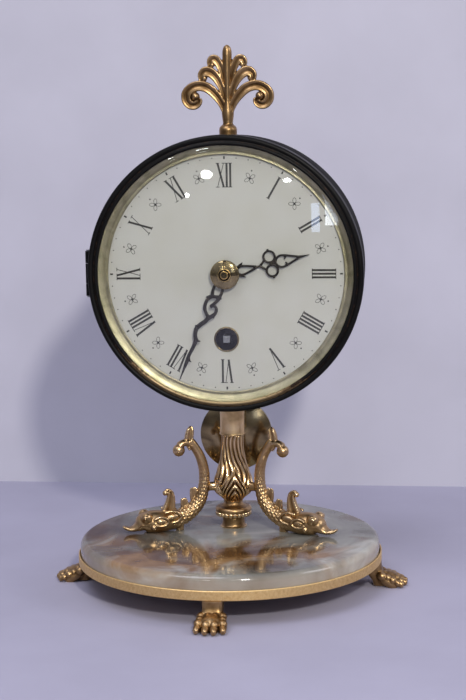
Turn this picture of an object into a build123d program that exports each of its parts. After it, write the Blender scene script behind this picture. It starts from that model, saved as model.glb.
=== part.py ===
from build123d import *
import os
from math import atan2, cos, degrees, pi, radians, sin, sqrt

# A key-wound pendulum table clock: drum case on a brass column, two dolphins, onyx slab on paw feet.
# Millimetres. Z is up, the dial faces -Y, and the origin is the middle of the footprint on the table.

# Clearances
cut_overrun = 2.0
seat_gap = 0.03
running_gap = 0.05
swing_gap = 0.3

# Onyx slab and the brass band that carries it
slab_radius = 66.3
slab_thickness = 9.2
slab_edge_round = 3.2
band_wall = 0.9
band_height = 4.2
flange_thickness = 1.2
flange_width = 10.0

# Paw feet
foot_height = 11.4
foot_reach = 13.4
leg_width = 8.8
leg_depth = 8.6
ankle_width = 8.0
ankle_depth = 6.4
ankle_height = 5.2
ankle_step = 3.4
paw_width = 13.4
paw_height = 8.0
instep_length = 11.0
toe_count = 4
toe_length = 9.6
toe_height = 6.6
toe_thickness = 3.9
toe_fan_deg = 8.5
toe_step = 1.4
foot_screw_radius = 1.5
foot_screw_head_radius = 2.6
foot_screw_head = 1.6
foot_screw_grip = 3.0

# Column: foot with beaded collar, acanthus baluster, sleeve
column_setback = 15.0
column_foot_height = 12.1
column_foot_radius = 6.2
collar_radius = 8.2
column_neck_radius = 3.9
bead_radius = 0.85
baluster_height = 30.4
baluster_radius = 8.6
baluster_top_radius = 4.8
leaf_count = 8
leaf_groove_radius = 0.7
sleeve_height = 15.0
sleeve_radius = 5.8
sleeve_lip_radius = 6.3
sleeve_lip_height = 1.6
tie_rod_radius = 2.0
nut_across_flats = 8.0
nut_height = 3.2
case_nut_height = 2.4
rod_end = 0.6
washer_radius = 9.0
washer_thickness = 1.2

# Dolphins
dolphin_reach = 51.0
dolphin_splay = 20.0
lug_radius = 1.5
throat_pad_length = 3.4
throat_pad_width = 3.6

# Drum case
case_radius = 59.0
case_wall = 1.2
case_front_gap = 2.9
case_length = 41.2
cover_thickness = 1.0
cover_rim = 3.0
cover_step = 1.5
cover_step_radius = 47.0
post_radius = 2.4
post_offset = 36.0
cover_screw_radius = 1.2
cover_screw_head_radius = 2.8
cover_screw_head = 1.2
cover_screw_grip = 6.0

# Bezel, glass and sight ring
bezel_overhang = 1.0
bezel_rim = 4.5
bezel_lip = 1.3
bezel_bead = 1.25
bezel_inner_bead = 0.8
bezel_skirt = 7.5
crystal_rim = 1.9
crystal_thickness = 1.3
crystal_rise = 6.0
sight_ring_depth = 2.65
sight_ring_width = 4.1
sight_ring_wall = 0.7
sight_ring_gap = 0.3

# Bezel hinge on the left
hinge_offset = 1.0
hinge_radius = 1.4
hinge_pin_radius = 0.65
hinge_length = 19.6
hinge_middle = 8.6
hinge_leaf = 0.8
hinge_leaf_width = 4.4
hinge_head_radius = 1.0

# Dial and hands
front_plate_depth = -9.7
dial_standoff = 6.2
dial_thickness = 0.8
dial_edge_gap = 1.4
dial_foot_radius = 1.0
dial_foot_circle = 38.0
dial_foot_count = 3
dial_hole_radius = 3.3
grommet_radius = 5.55
grommet_bore_radius = 4.75
grommet_flange = 0.5
grommet_neck_radius = 5.15
hand_thickness = 0.6
hour_hand_gap = 1.1
hand_spacing = 0.9
hour_hand_length = 37.7
minute_hand_length = 51.0
hand_bar = 1.1
hour_boss_radius = 4.4
minute_boss_radius = 3.6
hour_hand_turn = 77.0
minute_hand_turn = 204.0
hand_washer_radius = 6.35
hand_washer_height = 1.7
hand_nut_radius = 2.8
hand_nut_height = 1.3
washer_notch = 1.4

# Movement frame
plate_radius = 51.0
plate_thickness = 1.5
plate_gap = 16.0
pillar_radius = 2.5
pillar_circle = 40.0
pillar_bearing_deg = 35.0
seat_ring_inner_radius = 47.0
seat_ring_thickness = 1.0
seat_screw_circle = 49.0
seat_screw_count = 3
screw_radius = 1.2
screw_head_radius = 2.1
screw_head = 1.1
screw_grip = 4.0
arbor_radius = 1.2
pivot_radius = 0.6
post_pin_radius = 0.8

# Motion work: cannon pinion, minute wheel, hour wheel
cannon_leaves = 12
minute_wheel_teeth = 36
minute_pinion_leaves = 10
hour_wheel_teeth = 40
motion_module = 0.5
motion_wheel = 1.0
cannon_face = 1.8
cannon_pipe_radius = 1.7
cannon_tip_radius = 1.3
centre_front_radius = 1.0
hour_pipe_radius = 2.6
motion_plate_gap = 0.4
motion_layer_gap = 1.6

# Going train
winding_offset = 28.6
barrel_teeth = 60
centre_leaves = 12
centre_teeth = 84
third_leaves = 7
third_teeth = 77
escape_leaves = 7
escape_teeth = 41
centre_module = 0.4
third_module = 0.36
third_bearing_deg = 43.0
train_wheel = 1.0
pinion_face = 2.4
escape_radius = 10.0
hub_radius = 2.4
spoke_count = 4
spoke_width = 2.2
rim_width = 1.6
barrel_rim = 1.8
barrel_body_radius = 21.6
barrel_wall = 1.0
barrel_height = 9.2
barrel_front_gap = 1.3
barrel_cover_thickness = 0.8
winding_arbor_radius = 2.2
winding_hub_radius = 4.0
winding_square = 3.0
winding_recess = 0.3
spring_strip = 0.5
spring_turns = 5
spring_inner_radius = 8.0
spring_height = 6.4
centre_wheel_depth = 4.6
third_wheel_depth = -0.6
escape_wheel_depth = -5.4

# Ratchet and click
ratchet_teeth = 24
ratchet_radius = 9.0
ratchet_tooth = 1.3
ratchet_thickness = 1.3
ratchet_gap = 0.4
click_x = -14.0
click_rise = 7.6
click_boss_radius = 2.2
click_nose_radius = 0.6
click_reach = 5.9
click_aim_deg = -21.0
click_spring_strip = 0.5
click_spring_length = 11.0
click_spring_gap = 2.2
click_spring_foot = 3.0

# Pendulum
pivot_height = 34.7
pendulum_length = 112.0
pendulum_depth = 16.0
pallet_gap = 1.2
pallet_band = 1.9
pallet_half_span_deg = 48.0
anchor_thickness = 1.6
anchor_boss_radius = 2.0
crutch_depth = 11.4
crutch_thickness = 0.9
crutch_width = 2.2
crutch_drop = 27.0
fork_prong = 0.8
fork_gap = 0.15
fork_height = 1.6
rod_radius = 0.9
rod_head_width = 2.6
rod_head_depth = 5.0
rod_head_height = 4.0
suspension_drop = 3.2
suspension_rise = 3.8
suspension_strip = 0.25
suspension_width = 4.0
bob_radius = 16.5
bob_thickness = 7.0
bob_edge = 1.6
rating_nut_radius = 3.0
rating_nut_height = 2.4
rod_tail = 2.0
swing_deg = 4.0
slot_margin = 2.2
slot_width = 5.0
cock_width = 12.0
cock_height = 9.0
cock_arm_height = 3.0
cock_arm_width = 7.0
cock_foot_thickness = 1.5
cock_rise = 2.8
cock_tail = 3.4
cock_slit = 1.4

# Finial
finial_height = 39.4
finial_ring_radius = 3.6
finial_ring_height = 5.0
finial_stud_radius = 1.4
finial_nut_height = 2.0
finial_stud_spare = 0.6

# Places that follow from the sizes above
slab_bottom = foot_height + flange_thickness
slab_top = slab_bottom + slab_thickness
band_inner_radius = slab_radius + seat_gap
band_radius = band_inner_radius + band_wall
foot_tip_radius = slab_radius + foot_reach
baluster_bottom = slab_top + column_foot_height
sleeve_bottom = baluster_bottom + baluster_height
case_bottom = sleeve_bottom + sleeve_height
drum_z = case_bottom + case_radius
case_top = drum_z + case_radius
case_bore_radius = case_radius - case_wall
dial_radius = case_bore_radius - dial_edge_gap
bezel_radius = case_radius + bezel_overhang
bezel_opening_radius = bezel_radius - bezel_rim
crystal_radius = bezel_opening_radius + crystal_rim
sight_ring_radius = bezel_opening_radius - sight_ring_width
drum_y = column_setback

dial_back = front_plate_depth - dial_standoff
dial_front = dial_back - dial_thickness
hour_hand_back = dial_front - hour_hand_gap
hour_hand_front = hour_hand_back - hand_thickness
minute_hand_back = hour_hand_front - hand_spacing
minute_hand_front = minute_hand_back - hand_thickness
washer_front = minute_hand_front - hand_washer_height
nut_front = washer_front - hand_nut_height
sight_ring_back = dial_front - sight_ring_gap
crystal_back = sight_ring_back - sight_ring_depth - seat_gap
crystal_front = crystal_back - crystal_thickness
bezel_back_of_lip = crystal_front - seat_gap
bezel_front = bezel_back_of_lip - bezel_lip
bezel_skirt_back = bezel_front + bezel_skirt
case_front = bezel_front + case_front_gap
case_rear = case_front + case_length
cover_back = case_rear + cover_thickness
plate_back_of_front = front_plate_depth + plate_thickness
back_plate_depth = plate_back_of_front + plate_gap
back_plate_back = back_plate_depth + plate_thickness
skirt_bore_radius = case_radius + swing_gap
hinge_x = -(bezel_radius + hinge_offset)
hinge_y = bezel_skirt_back + hinge_radius + swing_gap

motion_distance = motion_module * (cannon_leaves + minute_wheel_teeth) / 2
hour_module = 2 * motion_distance / (minute_pinion_leaves + hour_wheel_teeth)
barrel_module = 2 * winding_offset / (barrel_teeth + centre_leaves)
third_distance = centre_module * (centre_teeth + third_leaves) / 2
escape_distance = third_module * (third_teeth + escape_leaves) / 2
third_x = third_distance * cos(radians(third_bearing_deg))
third_z = third_distance * sin(radians(third_bearing_deg))
escape_z = third_z + sqrt(escape_distance**2 - third_x**2)
barrel_front = plate_back_of_front + barrel_front_gap
barrel_back = barrel_front + barrel_height
cannon_back = front_plate_depth - motion_plate_gap
cannon_teeth_front = cannon_back - cannon_face
minute_wheel_front = cannon_back - motion_plate_gap - motion_wheel
hour_wheel_back = cannon_teeth_front - motion_layer_gap
hour_wheel_front = hour_wheel_back - motion_wheel
click_z = -winding_offset + click_rise
pivot_z = drum_z + pivot_height
bob_z = pivot_z - pendulum_length
pendulum_y = drum_y + pendulum_depth
rod_bottom = bob_z - bob_radius - rating_nut_height - rod_tail
slot_half = (pivot_z - case_bottom) * sin(radians(swing_deg)) + rod_radius + slot_margin

# Tooth form: addendum and dedendum in modules, tip and root breadth in pitches
addendum_share = 1.0
dedendum_share = 1.35
tip_breadth_share = 0.2
root_breadth_share = 0.46
escape_depth_share = 1.1
escape_lean_share = 0.2

# Crutch eye beside the crutch's width
crutch_eye_share = 0.8

# Dolphin: height beside its reach
dolphin_height_share = 0.93
dolphin_height = dolphin_reach * dolphin_height_share
# Dolphin body stations, beak to tail: outward reach, height, half depth and half breadth
dolphin_body_shares = [
    (0.995, 0.066, 0.011, 0.022),
    (0.960, 0.046, 0.017, 0.040),
    (0.910, 0.042, 0.026, 0.054),
    (0.865, 0.062, 0.046, 0.070),
    (0.820, 0.090, 0.082, 0.090),
    (0.750, 0.098, 0.100, 0.106),
    (0.650, 0.098, 0.098, 0.110),
    (0.535, 0.104, 0.080, 0.094),
    (0.405, 0.162, 0.066, 0.076),
    (0.312, 0.265, 0.056, 0.062),
    (0.268, 0.400, 0.048, 0.052),
    (0.262, 0.545, 0.045, 0.046),
    (0.292, 0.685, 0.042, 0.042),
    (0.346, 0.795, 0.039, 0.039),
    (0.385, 0.868, 0.034, 0.035),
    (0.380, 0.938, 0.028, 0.029),
    (0.370, 0.995, 0.012, 0.014),
]
# Lower fluke that curls out to a ball, and the tall curled fin on the brow
dolphin_fluke_shares = [
    (0.355, 0.810, 0.030, 0.032),
    (0.400, 0.850, 0.028, 0.030),
    (0.445, 0.838, 0.030, 0.032),
    (0.482, 0.790, 0.034, 0.036),
]
dolphin_ball_share = (0.486, 0.767, 0.056)
dolphin_horn_shares = [
    (0.590, 0.160, 0.060, 0.042),
    (0.570, 0.280, 0.040, 0.034),
    (0.568, 0.370, 0.026, 0.027),
]
dolphin_horn_ball_share = (0.592, 0.378, 0.032)
# Small lumps as ellipsoids: reach, offset to each side, height, then the three radii
dolphin_side_lump_shares = [
    (0.795, 0.078, 0.145, 0.050, 0.040, 0.052),
    (0.650, 0.088, 0.095, 0.085, 0.042, 0.066),
]
dolphin_fin_shares = [
    (0.361, 0.000, 0.330, 0.032, 0.020, 0.064),
    (0.443, 0.000, 0.240, 0.034, 0.020, 0.062),
]
dolphin_lug_height_share = 0.415
dolphin_lug_reach_share = 0.28
throat_pad_reach_share = 0.490
throat_pad_height_share = 0.080

# Paw: how high the middles of instep and toes lie, and how far they stand back
instep_level_share = 0.45
instep_width_share = 0.43
instep_setback_share = 0.17
toe_level_share = 0.42
toe_setback_share = 0.25

# Column outlines: radius and height
column_foot_shares = [(1.00, 0.00), (0.84, 0.11), (0.76, 0.32), (0.98, 0.50)]
collar_low_share = 0.56
collar_high_share = 0.80
leaf_groove_start_share = 0.06
leaf_groove_length_share = 0.52
baluster_shares = [(0.62, 0.050), (0.95, 0.155), (1.00, 0.230), (0.92, 0.370), (0.66, 0.600),
                   (0.57, 0.800)]

# Finial arms: start across and up, straight run, then arcs as radius and turn, then the ball
finial_outer_shares = (0.030, 0.280, 0.000, [(0.331, 84.0), (0.102, 180.0), (0.062, 100.0)], 0.052)
finial_middle_shares = (0.026, 0.330, 0.300, [(0.172, 83.0), (0.068, 180.0), (0.042, 90.0)], 0.042)
finial_upper_shares = (0.018, 0.400, 0.385, [(0.092, 87.0), (0.052, 180.0), (0.044, 95.0)], 0.037)
finial_neck_share = 0.26
finial_neck_radius_share = 0.056
lobe_radius_share = 0.058
outer_tube_share = 0.042
middle_tube_share = 0.037
upper_tube_share = 0.028
finial_neck_radius = finial_height * finial_neck_radius_share
lobe_radius = finial_height * lobe_radius_share
outer_tube_radius = finial_height * outer_tube_share
middle_tube_radius = finial_height * middle_tube_share
upper_tube_radius = finial_height * upper_tube_share
finial_lobe_shares = [(0.50, 0.34), (0.62, 0.52), (0.60, 0.70), (1.00, 0.91)]

# Hour hand: places along its length and ring sizes
hour_tear_place_share = 0.285
hour_tear_width_share = 0.085
hour_tear_height_share = 0.125
hour_pair_place_share = 0.490
hour_pair_ring_share = 0.082
hour_pair_spread_share = 0.074
hour_loop_place_share = 0.625
hour_loop_ring_share = 0.068
hour_spike_share = 0.030
hour_fork_share = 0.150
hour_fork_spread_share = 0.120

# Minute hand: scroll by the boss, then waves that shrink towards the point
minute_scroll_place_share = 0.185
minute_scroll_ring_share = 0.075
minute_wave_places_share = [0.300, 0.400, 0.490, 0.570, 0.640]
minute_wave_rings_share = [0.058, 0.053, 0.047, 0.041, 0.036]
minute_wave_bar_share = 1.15
minute_joint_share = 0.7
minute_thorn_share = 0.045
minute_spike_start_share = 0.670


def drum_plane(depth):
    """Plane facing the viewer at a depth from the drum's middle, centred on the dial."""
    return Plane(origin=(0, drum_y + depth, drum_z), x_dir=(1, 0, 0), z_dir=(0, -1, 0))


def layer(sketch, front, back):
    """Solid with the sketch's outline from one depth of the drum to another."""
    return extrude(drum_plane(back) * sketch, amount=back - front)


def disc(x, z, radius, front, back):
    return layer(Pos(x, z) * Circle(radius), front, back)


def turned_in_drum(outline):
    """Ring turned round the drum's axis from an outline of radius and depth."""
    section = Plane(origin=(0, drum_y, drum_z), x_dir=(1, 0, 0), z_dir=(0, 0, 1)) * make_face(outline)
    return revolve(section, Axis((0, drum_y, drum_z), (0, 1, 0)))


def turned_on_column(outline):
    """Piece turned round the column's axis from an outline of radius and height."""
    section = Plane(origin=(0, column_setback, 0), x_dir=(1, 0, 0), z_dir=(0, -1, 0)) * make_face(outline)
    return revolve(section, Axis((0, column_setback, 0), (0, 0, 1)))


def post(x, y, z, radius, height):
    """Upright cylinder that stands on the given point."""
    return Pos(x, y, z) * Cylinder(radius, height, align=(Align.CENTER, Align.CENTER, Align.MIN))


def drum_cylinder(radius):
    """Cylinder on the drum's axis, longer than the case, used to fit saddles to the case."""
    return disc(0, 0, radius, case_front - cut_overrun, case_rear + cut_overrun)


def ellipsoid(place, radii):
    return Pos(*place) * scale(Sphere(1), by=radii)


def polar(radius, bearing_deg):
    return radius * cos(radians(bearing_deg)), radius * sin(radians(bearing_deg))


def on_circle(radius, count, first_deg):
    """Evenly spaced places on a circle in the plane of the dial."""
    return [polar(radius, first_deg + index * 360 / count) for index in range(count)]


def ruled_path(points):
    return make_face(Polyline(*points, close=True))


def gear_outline(teeth, module, turn_deg=0.0):
    """Toothed outline whose first tooth points along +X before it is turned."""
    tip = module * (teeth / 2 + addendum_share)
    root = module * (teeth / 2 - dedendum_share)
    pitch = 2 * pi / teeth
    points = []
    for tooth in range(teeth):
        middle = radians(turn_deg) + tooth * pitch
        for radius, side in ((root, -root_breadth_share), (tip, -tip_breadth_share),
                             (tip, tip_breadth_share), (root, root_breadth_share)):
            angle = middle + side * pitch / 2
            points.append((radius * cos(angle), radius * sin(angle)))
    return ruled_path(points)


def mesh_turn(bearing_deg, driver_teeth, driver_turn_deg, teeth):
    """Turn that sets a gear's gap on the line of centres against the driver's nearest tooth."""
    along_driver = (bearing_deg - driver_turn_deg) * driver_teeth / 360
    along_gear = 0.5 - along_driver
    return bearing_deg + 180 - along_gear * 360 / teeth


def crossed_out(outline, rim_inner, hub):
    """Wheel outline with its web cut to spokes."""
    if rim_inner <= hub:
        return outline
    windows = Circle(rim_inner) - Circle(hub)
    for spoke in range(spoke_count):
        bar = Pos(rim_inner / 2, 0) * Rectangle(rim_inner + spoke_width, spoke_width)
        windows -= Rot(0, 0, spoke * 360 / spoke_count + 180 / spoke_count) * bar
    return outline - windows


def build_slab():
    blank = post(0, 0, slab_bottom, slab_radius, slab_thickness)
    blank = fillet(blank.edges().group_by(Axis.Z)[-1], slab_edge_round)
    bore = post(0, column_setback, slab_bottom - cut_overrun, tie_rod_radius + running_gap,
                slab_thickness + 2 * cut_overrun)
    slab = blank - bore
    for x, y in foot_screw_places():
        slab -= post(x, y, slab_bottom - cut_overrun, foot_screw_radius + running_gap,
                     foot_screw_grip + cut_overrun)
    return slab


def foot_screw_places():
    return [polar(band_radius - leg_depth / 2, bearing) for bearing in foot_bearings.values()]


def build_band():
    wall = post(0, 0, foot_height, band_radius, band_height)
    wall -= post(0, 0, slab_bottom, band_inner_radius, band_height)
    wall -= post(0, 0, foot_height - cut_overrun, band_radius - flange_width, band_height)
    wall = fillet(wall.edges().filter_by(GeomType.CIRCLE).group_by(Axis.Z)[-1].sort_by(SortBy.RADIUS)[-1:],
                  band_wall / 3)
    for x, y in foot_screw_places():
        wall -= post(x, y, foot_height - cut_overrun, foot_screw_radius + running_gap, band_height)
    return wall


foot_bearings = {"right": 0.0, "back": 90.0, "left": 180.0, "front": 270.0}


def build_paw_foot(bearing):
    """Cast foot: a short leg under the band, an instep, and toes that rest flat on the table."""
    leg_middle = band_radius - leg_depth / 2
    top = Plane((leg_middle, 0, foot_height)) * Rectangle(leg_depth, leg_width)
    ankle = Plane((leg_middle + ankle_step, 0, ankle_height)) * Rectangle(ankle_depth, ankle_width)
    leg = loft([ankle, top], ruled=True)
    instep_middle = foot_tip_radius - toe_length - instep_length * instep_setback_share
    foot = leg + ellipsoid((instep_middle, 0, paw_height * instep_level_share),
                           (instep_length / 2, paw_width * instep_width_share,
                            paw_height * (1 - instep_level_share)))
    for toe in range(toe_count):
        side = toe - (toe_count - 1) / 2
        spread = Rot(0, 0, side * toe_fan_deg)
        middle = foot_tip_radius - toe_length / 2 - abs(side) * toe_thickness * toe_setback_share
        lump = ellipsoid((middle, 0, toe_height * toe_level_share),
                         (toe_length / 2, toe_thickness / 2, toe_height * (1 - toe_level_share)))
        foot += Pos(0, side * toe_step, 0) * (
            Pos(leg_middle, 0, 0) * spread * Pos(-leg_middle, 0, 0) * lump)
    below = Pos(leg_middle, 0, 0) * Box(4 * foot_reach, 4 * paw_width, 2 * paw_height,
                                        align=(Align.CENTER, Align.CENTER, Align.MAX))
    foot -= below
    foot -= post(leg_middle, 0, -cut_overrun, foot_screw_head_radius + running_gap,
                 foot_height - 2 * foot_screw_head + cut_overrun)
    foot -= post(leg_middle, 0, 0, foot_screw_radius + running_gap, foot_height + cut_overrun)
    return Rot(0, 0, bearing) * foot


def build_foot_screws():
    head_z = foot_height - 2 * foot_screw_head - foot_screw_head
    screws = []
    for x, y in foot_screw_places():
        shank = post(x, y, head_z, foot_screw_radius, slab_bottom + foot_screw_grip / 2 - head_z)
        screws.append(shank + post(x, y, head_z, foot_screw_head_radius, foot_screw_head))
    return screws


def column_bore(bottom, height):
    radius = tie_rod_radius + running_gap
    return post(0, column_setback, bottom - cut_overrun, radius, height + 2 * cut_overrun)


def build_column_foot():
    """Waisted foot under a collar with a row of beads."""
    flare = [(column_foot_radius * r, slab_top + column_foot_height * h) for r, h in column_foot_shares]
    collar_low = slab_top + column_foot_height * collar_low_share
    collar_high = slab_top + column_foot_height * collar_high_share
    with BuildLine() as outline:
        Polyline((0, slab_top), flare[0])
        Spline(*flare)
        Line(flare[-1], (collar_radius - bead_radius, collar_low))
        ThreePointArc((collar_radius - bead_radius, collar_low),
                      (collar_radius, (collar_low + collar_high) / 2),
                      (collar_radius - bead_radius, collar_high))
        Polyline((collar_radius - bead_radius, collar_high),
                 (column_neck_radius + bead_radius, baluster_bottom - bead_radius),
                 (column_neck_radius, baluster_bottom), (0, baluster_bottom), (0, slab_top))
    return turned_on_column(outline.line) - column_bore(slab_top, column_foot_height)


def baluster_blank():
    points = [(baluster_radius * r, baluster_bottom + baluster_height * h) for r, h in baluster_shares]
    with BuildLine() as outline:
        Spline((column_neck_radius, baluster_bottom), *points, (baluster_top_radius, sleeve_bottom))
        Polyline((baluster_top_radius, sleeve_bottom), (0, sleeve_bottom), (0, baluster_bottom),
                 (column_neck_radius, baluster_bottom))
    return turned_on_column(outline.line)


def build_baluster():
    """Acanthus baluster: a vase form with an upright groove between its leaves."""
    baluster = baluster_blank()
    groove_length = baluster_height * leaf_groove_length_share
    for leaf in range(leaf_count):
        x, y = polar(baluster_radius, 360 * (leaf + 0.5) / leaf_count)
        baluster -= post(x, column_setback + y, baluster_bottom + baluster_height * leaf_groove_start_share,
                         leaf_groove_radius, groove_length)
    return baluster - column_bore(baluster_bottom, baluster_height)


def build_sleeve():
    sleeve = post(0, column_setback, sleeve_bottom, sleeve_radius, sleeve_height + cut_overrun)
    sleeve += post(0, column_setback, sleeve_bottom, sleeve_lip_radius, sleeve_lip_height)
    sleeve -= drum_cylinder(case_radius + seat_gap)
    return sleeve - column_bore(sleeve_bottom, sleeve_height)


def hexagon(x, y, z, height):
    flats = extrude(RegularPolygon(nut_across_flats / 2, 6, major_radius=False), amount=height)
    return Pos(x, y, z) * flats


def build_tie_rod():
    bottom = slab_bottom - washer_thickness - nut_height - rod_end
    top = case_bottom + case_wall + case_nut_height + rod_end
    return post(0, column_setback, bottom, tie_rod_radius, top - bottom)


def rod_hole(bottom, height):
    return post(0, column_setback, bottom, tie_rod_radius + running_gap, height)


def build_base_nut():
    """Hexagon nut with a washer face, tight under the slab."""
    bottom = slab_bottom - washer_thickness - nut_height
    nut = hexagon(0, column_setback, bottom, nut_height)
    nut += post(0, column_setback, slab_bottom - washer_thickness, washer_radius, washer_thickness)
    return nut - rod_hole(bottom - cut_overrun, nut_height + washer_thickness + 2 * cut_overrun)


def build_case_nut():
    top = case_bottom + case_wall + case_nut_height
    nut = hexagon(0, column_setback, case_bottom, top - case_bottom)
    nut &= drum_cylinder(case_bore_radius - seat_gap)
    return nut - rod_hole(case_bottom - cut_overrun, 2 * cut_overrun + top - case_bottom)


def through_stations(shares, side):
    """Smooth body lofted through ellipses that stand square to the line of the stations."""
    centres = [(dolphin_reach * s[0], slab_top + dolphin_height * s[1]) for s in shares]
    sections = []
    for index, share in enumerate(shares):
        before = centres[max(index - 1, 0)]
        after = centres[min(index + 1, len(centres) - 1)]
        ahead = (after[0] - before[0], 0, after[1] - before[1])
        station = Plane(origin=(centres[index][0], 0, centres[index][1]), x_dir=(0, 1, 0), z_dir=ahead)
        sections.append(station * Ellipse(side * share[3], side * share[2]))
    return loft(sections)


def dolphin_lump(share, hand):
    reach, offset, height, across, breadth, depth = share
    place = (dolphin_reach * reach, hand * dolphin_reach * offset, slab_top + dolphin_height * height)
    return ellipsoid(place, (dolphin_reach * across, dolphin_reach * breadth, dolphin_reach * depth))


def dolphin_ball(share):
    reach, height, radius = share
    place = Pos(dolphin_reach * reach, 0, slab_top + dolphin_height * height)
    return place * Sphere(dolphin_reach * radius)


def build_dolphin(bearing):
    """Cast dolphin, head on the slab and tail raised, with a lug that meets the baluster."""
    dolphin = through_stations(dolphin_body_shares, dolphin_reach)
    dolphin += through_stations(dolphin_fluke_shares, dolphin_reach)
    dolphin += dolphin_ball(dolphin_ball_share)
    dolphin += through_stations(dolphin_horn_shares, dolphin_reach)
    dolphin += dolphin_ball(dolphin_horn_ball_share)
    for share in dolphin_fin_shares:
        dolphin += dolphin_lump(share, 0)
    for share in dolphin_side_lump_shares:
        dolphin += dolphin_lump(share, 1)
        dolphin += dolphin_lump(share, -1)
    pad = Box(throat_pad_length, throat_pad_width, dolphin_height * throat_pad_height_share,
              align=(Align.CENTER, Align.CENTER, Align.MIN))
    dolphin += Pos(dolphin_reach * throat_pad_reach_share, 0, slab_top) * pad
    lug_z = slab_top + dolphin_height * dolphin_lug_height_share
    lug = Rot(0, 90, 0) * Cylinder(lug_radius, dolphin_reach * dolphin_lug_reach_share,
                                   align=(Align.CENTER, Align.CENTER, Align.MIN))
    dolphin += Pos(0, 0, lug_z) * lug
    dolphin -= post(0, 0, 0, dolphin_reach + cut_overrun, slab_top)
    placed = Pos(0, column_setback, 0) * Rot(0, 0, bearing) * dolphin
    placed -= baluster_blank()
    return max(placed.solids(), key=lambda solid: solid.volume)


def build_case():
    """Drum shell, open at both ends, with a slot under the pendulum rod."""
    shell = disc(0, 0, case_radius, case_front, case_rear)
    shell -= disc(0, 0, case_bore_radius, case_front - cut_overrun, case_rear + cut_overrun)
    slot = Pos(0, pendulum_y, case_bottom) * Box(2 * slot_half, slot_width, 4 * case_wall)
    shell -= fillet(slot.edges().filter_by(Axis.Z), slot_width / 3)
    shell -= rod_hole(case_bottom - cut_overrun, case_wall + 2 * cut_overrun)
    shell -= post(0, drum_y, case_top - case_wall - cut_overrun, finial_stud_radius + running_gap,
                  case_wall + 2 * cut_overrun)
    return shell


def build_back_cover():
    """Pressed cover: a rim inside the shell, a flat flange and a raised panel."""
    rim = case_bore_radius - seat_gap
    rise = cover_thickness
    outline = Polyline(
        (0, case_rear + cover_step), (cover_step_radius - rise, case_rear + cover_step),
        (cover_step_radius - rise, case_rear), (rim - rise, case_rear), (rim - rise, case_rear - cover_rim),
        (rim, case_rear - cover_rim), (rim, case_rear), (case_radius, case_rear), (case_radius, cover_back),
        (cover_step_radius, cover_back), (cover_step_radius, cover_back + cover_step),
        (0, cover_back + cover_step), close=True)
    cover = turned_in_drum(outline)
    for x in (-post_offset, post_offset):
        cover -= disc(x, 0, cover_screw_radius + running_gap, case_rear, cover_back + 2 * cover_step)
    return cover


def build_cover_posts():
    posts = []
    for x in (-post_offset, post_offset):
        stem = disc(x, 0, post_radius, back_plate_back, case_rear + cover_step)
        bore_front = case_rear + cover_step - cover_screw_grip
        posts.append(stem - disc(x, 0, cover_screw_radius + running_gap, bore_front, cover_back + cover_step))
    return posts


def build_cover_screws():
    screws = []
    face = cover_back + cover_step
    for x in (-post_offset, post_offset):
        tip = case_rear + cover_step - cover_screw_grip + seat_gap
        screw = disc(x, 0, cover_screw_radius, tip, face + cover_screw_head)
        screws.append(screw + disc(x, 0, cover_screw_head_radius, face, face + cover_screw_head))
    return screws


def scroll_arm(shares, tube_radius, hand):
    """One curled arm of the palmette: a stem, arcs of falling radius, and a ball."""
    across, up, run, arcs, ball = shares
    heading = arcs[0][1]
    start = Vector(hand * finial_height * across, finial_height * up)
    lean = Vector(hand * cos(radians(heading)), sin(radians(heading)))
    pieces = []
    tip = start
    if run:
        stem = Line(start, start + lean * finial_height * run)
        pieces.append(stem)
        tip = stem @ 1
    for radius, turn in arcs:
        arc = JernArc(start=tip, tangent=lean, radius=finial_height * radius, arc_size=-hand * turn)
        pieces.append(arc)
        tip = arc @ 1
        lean = arc % 1
    path = Wire([edge for piece in pieces for edge in piece.edges()])
    section = Plane(origin=path @ 0, z_dir=path % 0) * Circle(tube_radius)
    arm = sweep(section, path=path)
    ahead = Rot(0, 0, degrees(atan2(lean.Y, lean.X)))
    return arm + Pos(*tip) * ahead * Sphere(finial_height * ball)


def build_finial():
    """Cast palmette: turned stem, curled arms to each side and a lobe in the middle."""
    points = [(lobe_radius * r, case_top + finial_height * h) for r, h in finial_lobe_shares]
    ring_top = case_top + finial_ring_height
    neck = (finial_neck_radius, case_top + finial_height * finial_neck_share)
    with BuildLine() as outline:
        Polyline((0, case_top - cut_overrun), (finial_ring_radius, case_top - cut_overrun),
                 (finial_ring_radius, ring_top), (finial_neck_radius, ring_top), neck)
        Spline(neck, *points, (0, case_top + finial_height))
        Line((0, case_top + finial_height), (0, case_top - cut_overrun))
    finial = turned_on_column(outline.line)
    upright = Plane(origin=(0, drum_y, case_top), x_dir=(1, 0, 0), z_dir=(0, -1, 0))
    for shares, radius in ((finial_outer_shares, outer_tube_radius),
                           (finial_middle_shares, middle_tube_radius),
                           (finial_upper_shares, upper_tube_radius)):
        for hand in (1, -1):
            finial += upright * scroll_arm(shares, radius, hand)
    finial -= drum_cylinder(case_radius + seat_gap)
    stud_bottom = case_top - case_wall - finial_nut_height - finial_stud_spare
    return finial + post(0, drum_y, stud_bottom, finial_stud_radius, ring_top - stud_bottom)


def build_finial_nut():
    bottom = case_top - case_wall - finial_nut_height
    nut = hexagon(0, drum_y, bottom, case_top - bottom) & drum_cylinder(case_bore_radius - seat_gap)
    return nut - post(0, drum_y, bottom - cut_overrun, finial_stud_radius + running_gap,
                      case_top - bottom + cut_overrun)


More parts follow.
